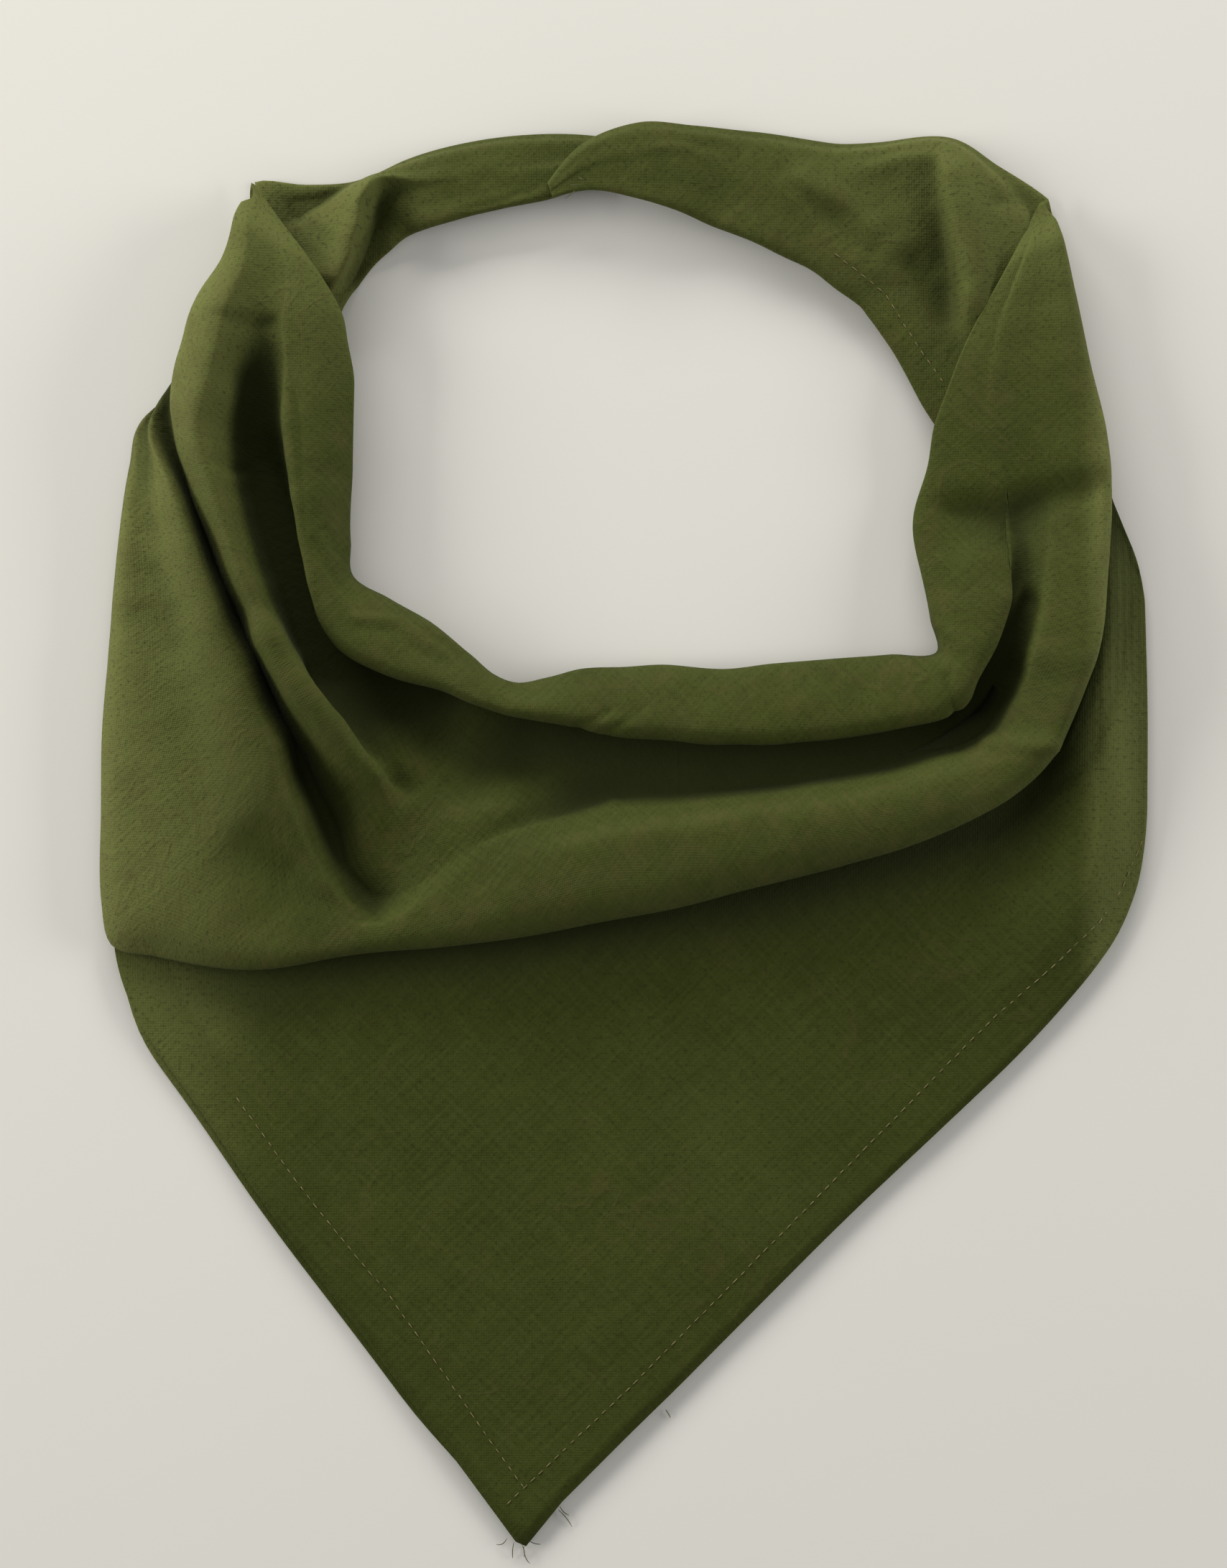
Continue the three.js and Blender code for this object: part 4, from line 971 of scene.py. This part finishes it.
def cotton(name, has_hem=False, shade=0.0):
    """Plain-woven olive cotton: threads in two directions along the hems, uneven dye, brown on worn
    creases and fine crinkles. Painted light makes it paler to the sides and at the top; with a shade
    strength, painted shade makes it darker in hollows and a painted highlight paler on raised parts."""
    finish = Finish(name)
    cloth = finish.node("ShaderNodeUVMap", {"uv_map": "cloth"})
    along = finish.node("ShaderNodeMapping", None, {"Vector": cloth, "Rotation": (0, 0, WEAVE_TURN)})
    warp, weft = finish.part(along, 0), finish.part(along, 1)
    pace = np.pi / THREAD_PITCH
    weave = (warp * pace).math("SINE") * (weft * pace).math("SINE")
    long_warp = finish.node("ShaderNodeMapping", None, {"Vector": along, "Scale": (60, 720, 1)})
    long_weft = finish.node("ShaderNodeMapping", None, {"Vector": along, "Scale": (720, 60, 1)})
    slub = finish.noise(long_warp, 1.0, 2) + finish.noise(long_weft, 1.0, 2)
    fleck = finish.noise(cloth, 800, 2, 0.6)
    patches = finish.noise(cloth, 26, 4, 0.62)
    cloud = finish.noise(cloth, 9, 3, 0.5)
    crinkle = finish.noise(cloth, 150, 4, 0.6, 0.3)
    bent = finish.noise(cloth, 34, 3, 0.55, 0.6)
    pressed = 1 - (bent - 0.5).math("ABSOLUTE").between(0.0, 0.035)
    pressed = pressed * finish.noise(cloth, 14, 2).between(0.48, 0.62)
    place = finish.node("ShaderNodeTexCoord", out=3)
    across, upward = finish.part(place, 0), finish.part(place, 1)
    # Painted light: paler towards the top and the sides, where the light falls more
    far = across.math("ABSOLUTE").between(0.04, 0.10) * 0.52 + 0.2
    painted_light = upward.between(0.11, 0.21) * far + across.between(0.140, 0.150)
    painted_light = painted_light + (across * -1).between(0.105, 0.15) * 0.95
    base = finish.blend(OLIVE_DEEP, OLIVE, patches.between(0.3, 0.7))
    base = finish.blend(base, OLIVE_FADED_AND_LIT, (slub - 0.8) * 0.35)
    base = finish.blend(base, OLIVE_FADED_AND_LIT, cloud.between(0.45, 0.75) * 0.2 + painted_light)
    base = finish.blend(base, OLIVE_DARK_AND_SHADE, (fleck - 0.5).between(0.02, 0.2) * 0.5)
    base = finish.blend(base, OLIVE_WORN, pressed * 0.22)
    height = weave * 0.00005 + slub * 0.00024 + fleck * 0.00014 + crinkle * 0.0006 + pressed * 0.00015
    if shade:
        wear = finish.mark("wear")
        rubbed = wear.between(0.05, 0.6) * finish.noise(cloth, 90, 4, 0.7).between(0.42, 0.66)
        base = finish.blend(base, OLIVE_WORN, rubbed * 0.3)
        # Painted shade: darker where the cloth lies below its surroundings, by the shade strength;
        # painted highlight: paler where it stands above them
        painted_shade_depth = finish.mark("painted_shade_depth")
        base = finish.blend(base, OLIVE_DARK_AND_SHADE, painted_shade_depth.between(-1.2, 5.0) * shade)
        base = finish.blend(base, OLIVE_FADED_AND_LIT, (painted_shade_depth * -1).between(1.0, 8.0) * 0.12)
    if has_hem:
        band = 1 - finish.mark("seam").between(HEM_WIDTH + 0.6, HEM_WIDTH + 1.6)
        base = finish.blend(base, OLIVE_DEEP, band * 0.2)
        height = height + band * 0.00012
    bump = finish.node("ShaderNodeBump", None, {"Strength": 0.6, "Distance": 1.0, "Height": height})
    return finish.shaped(
        Base_Color=base,
        Roughness=patches * 0.10 + 0.72,
        Normal=bump,
        IOR=1.42,
        Specular_IOR_Level=0.16,
        Sheen_Weight=0.04,
        Sheen_Roughness=0.5,
        Sheen_Tint=(0.8, 0.85, 0.5, 1),
    )


def sewing_thread(name, colour):
    """Thread of one colour with a little unevenness along it."""
    finish = Finish(name)
    place = finish.node("ShaderNodeTexCoord", out=3)
    shade = finish.noise(place, 700, 3, 0.6)
    paler = tuple(1.5 * part for part in colour[:3]) + (1,)
    base = finish.blend(colour, paler, shade.between(0.35, 0.65))
    return finish.shaped(Base_Color=base, Roughness=shade * 0.1 + 0.75, Specular_IOR_Level=0.2)


def dress(piece, material, node):
    """Gives a piece its material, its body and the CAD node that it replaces."""
    piece.data.materials.append(material)
    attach(piece, "root")
    if node:
        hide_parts(node)


dress(front.object, cotton("front_cotton", True, 0.88), "front_drape")
dress(under.object, cotton("under_cotton", True), "under_ply")
dress(right_hem.object, cotton("right_hem_cotton"), "right_hem")
dress(left_hem.object, cotton("left_hem_cotton"), "left_hem")
dress(left_tail.object, cotton("left_tail_cotton", False, 0.5), "left_tail")
dress(right_tail.object, cotton("right_tail_cotton", False, 0.5), "right_tail")

tan = sewing_thread("tan_thread", (0.15, 0.13, 0.055, 1))
dress(hem_stitches.object, tan, None)
dress(tail_stitches.object, tan, None)
green = sewing_thread("loose_thread", (0.07, 0.075, 0.03, 1))
dress(tip_frays.object, green, None)
dress(top_frays.object, green, None)


def table_top():
    """A plain pale floor."""
    mesh = bpy.data.meshes.new("table_top")
    corners = [(-3, -3, 0), (3, -3, 0), (3, 3, 0), (-3, 3, 0)]
    mesh.from_pydata(corners, [], [(0, 1, 2, 3)])
    floor = bpy.data.objects.new("table_top", mesh)
    bpy.context.scene.collection.objects.link(floor)
    finish = Finish("pale_floor")
    place = finish.node("ShaderNodeTexCoord", out=3)
    shade = finish.noise(place, 2.5, 2, 0.5)
    colour = finish.blend((0.80, 0.775, 0.715, 1), (0.84, 0.815, 0.755, 1), shade)
    pale = finish.shaped(Base_Color=colour, Roughness=0.95, Specular_IOR_Level=0.1)
    floor.data.materials.append(pale)


DAYLIGHT = (1.0, 0.99, 0.96)


def soft_light(name, place, width, height, watts):
    """A wide soft light, a little warm, that faces the loop."""
    light = bpy.data.lights.new(name, "AREA")
    light.shape = "RECTANGLE"
    light.size, light.size_y = width, height
    light.energy = watts
    light.color = DAYLIGHT
    lamp = bpy.data.objects.new(name, light)
    lamp.location = place
    lamp.rotation_euler = (Vector(MIDDLE * MM) - Vector(place)).to_track_quat("-Z", "Y").to_euler()
    bpy.context.scene.collection.objects.link(lamp)


table_top()
soft_light("top_light", (-0.45, 1.95, 0.66), 1.9, 0.6, 39)
soft_light("left_light", (-1.95, 0.30, 0.66), 1.5, 0.6, 30)
soft_light("right_light", (1.95, 0.15, 0.66), 1.4, 0.6, 20)
world = bpy.data.worlds.new("room")
world.use_nodes = True
world.node_tree.nodes["Background"].inputs[0].default_value = (0.96, 0.98, 1.0, 1)
world.node_tree.nodes["Background"].inputs[1].default_value = 0.27
bpy.context.scene.world = world
bpy.context.scene.view_settings.view_transform = "Standard"

# The camera looks straight down. Its frame is FRAME_HEIGHT from top to bottom, and its middle is
# FRAME_MIDDLE away from the loop's.
CAMERA_HEIGHT, FRAME_HEIGHT, SENSOR_HEIGHT = 1000, 490, 24
FRAME_MIDDLE = (-8.0, -107.8)
camera_data = bpy.data.cameras.new("above")
camera_data.sensor_fit = "VERTICAL"
camera_data.sensor_height = SENSOR_HEIGHT
camera_data.lens = SENSOR_HEIGHT * CAMERA_HEIGHT / FRAME_HEIGHT
camera = bpy.data.objects.new("above", camera_data)
aim = MIDDLE[:2] + FRAME_MIDDLE
camera.location = (aim[0] * MM, aim[1] * MM, CAMERA_HEIGHT * MM)
bpy.context.scene.collection.objects.link(camera)
bpy.context.scene.camera = camera
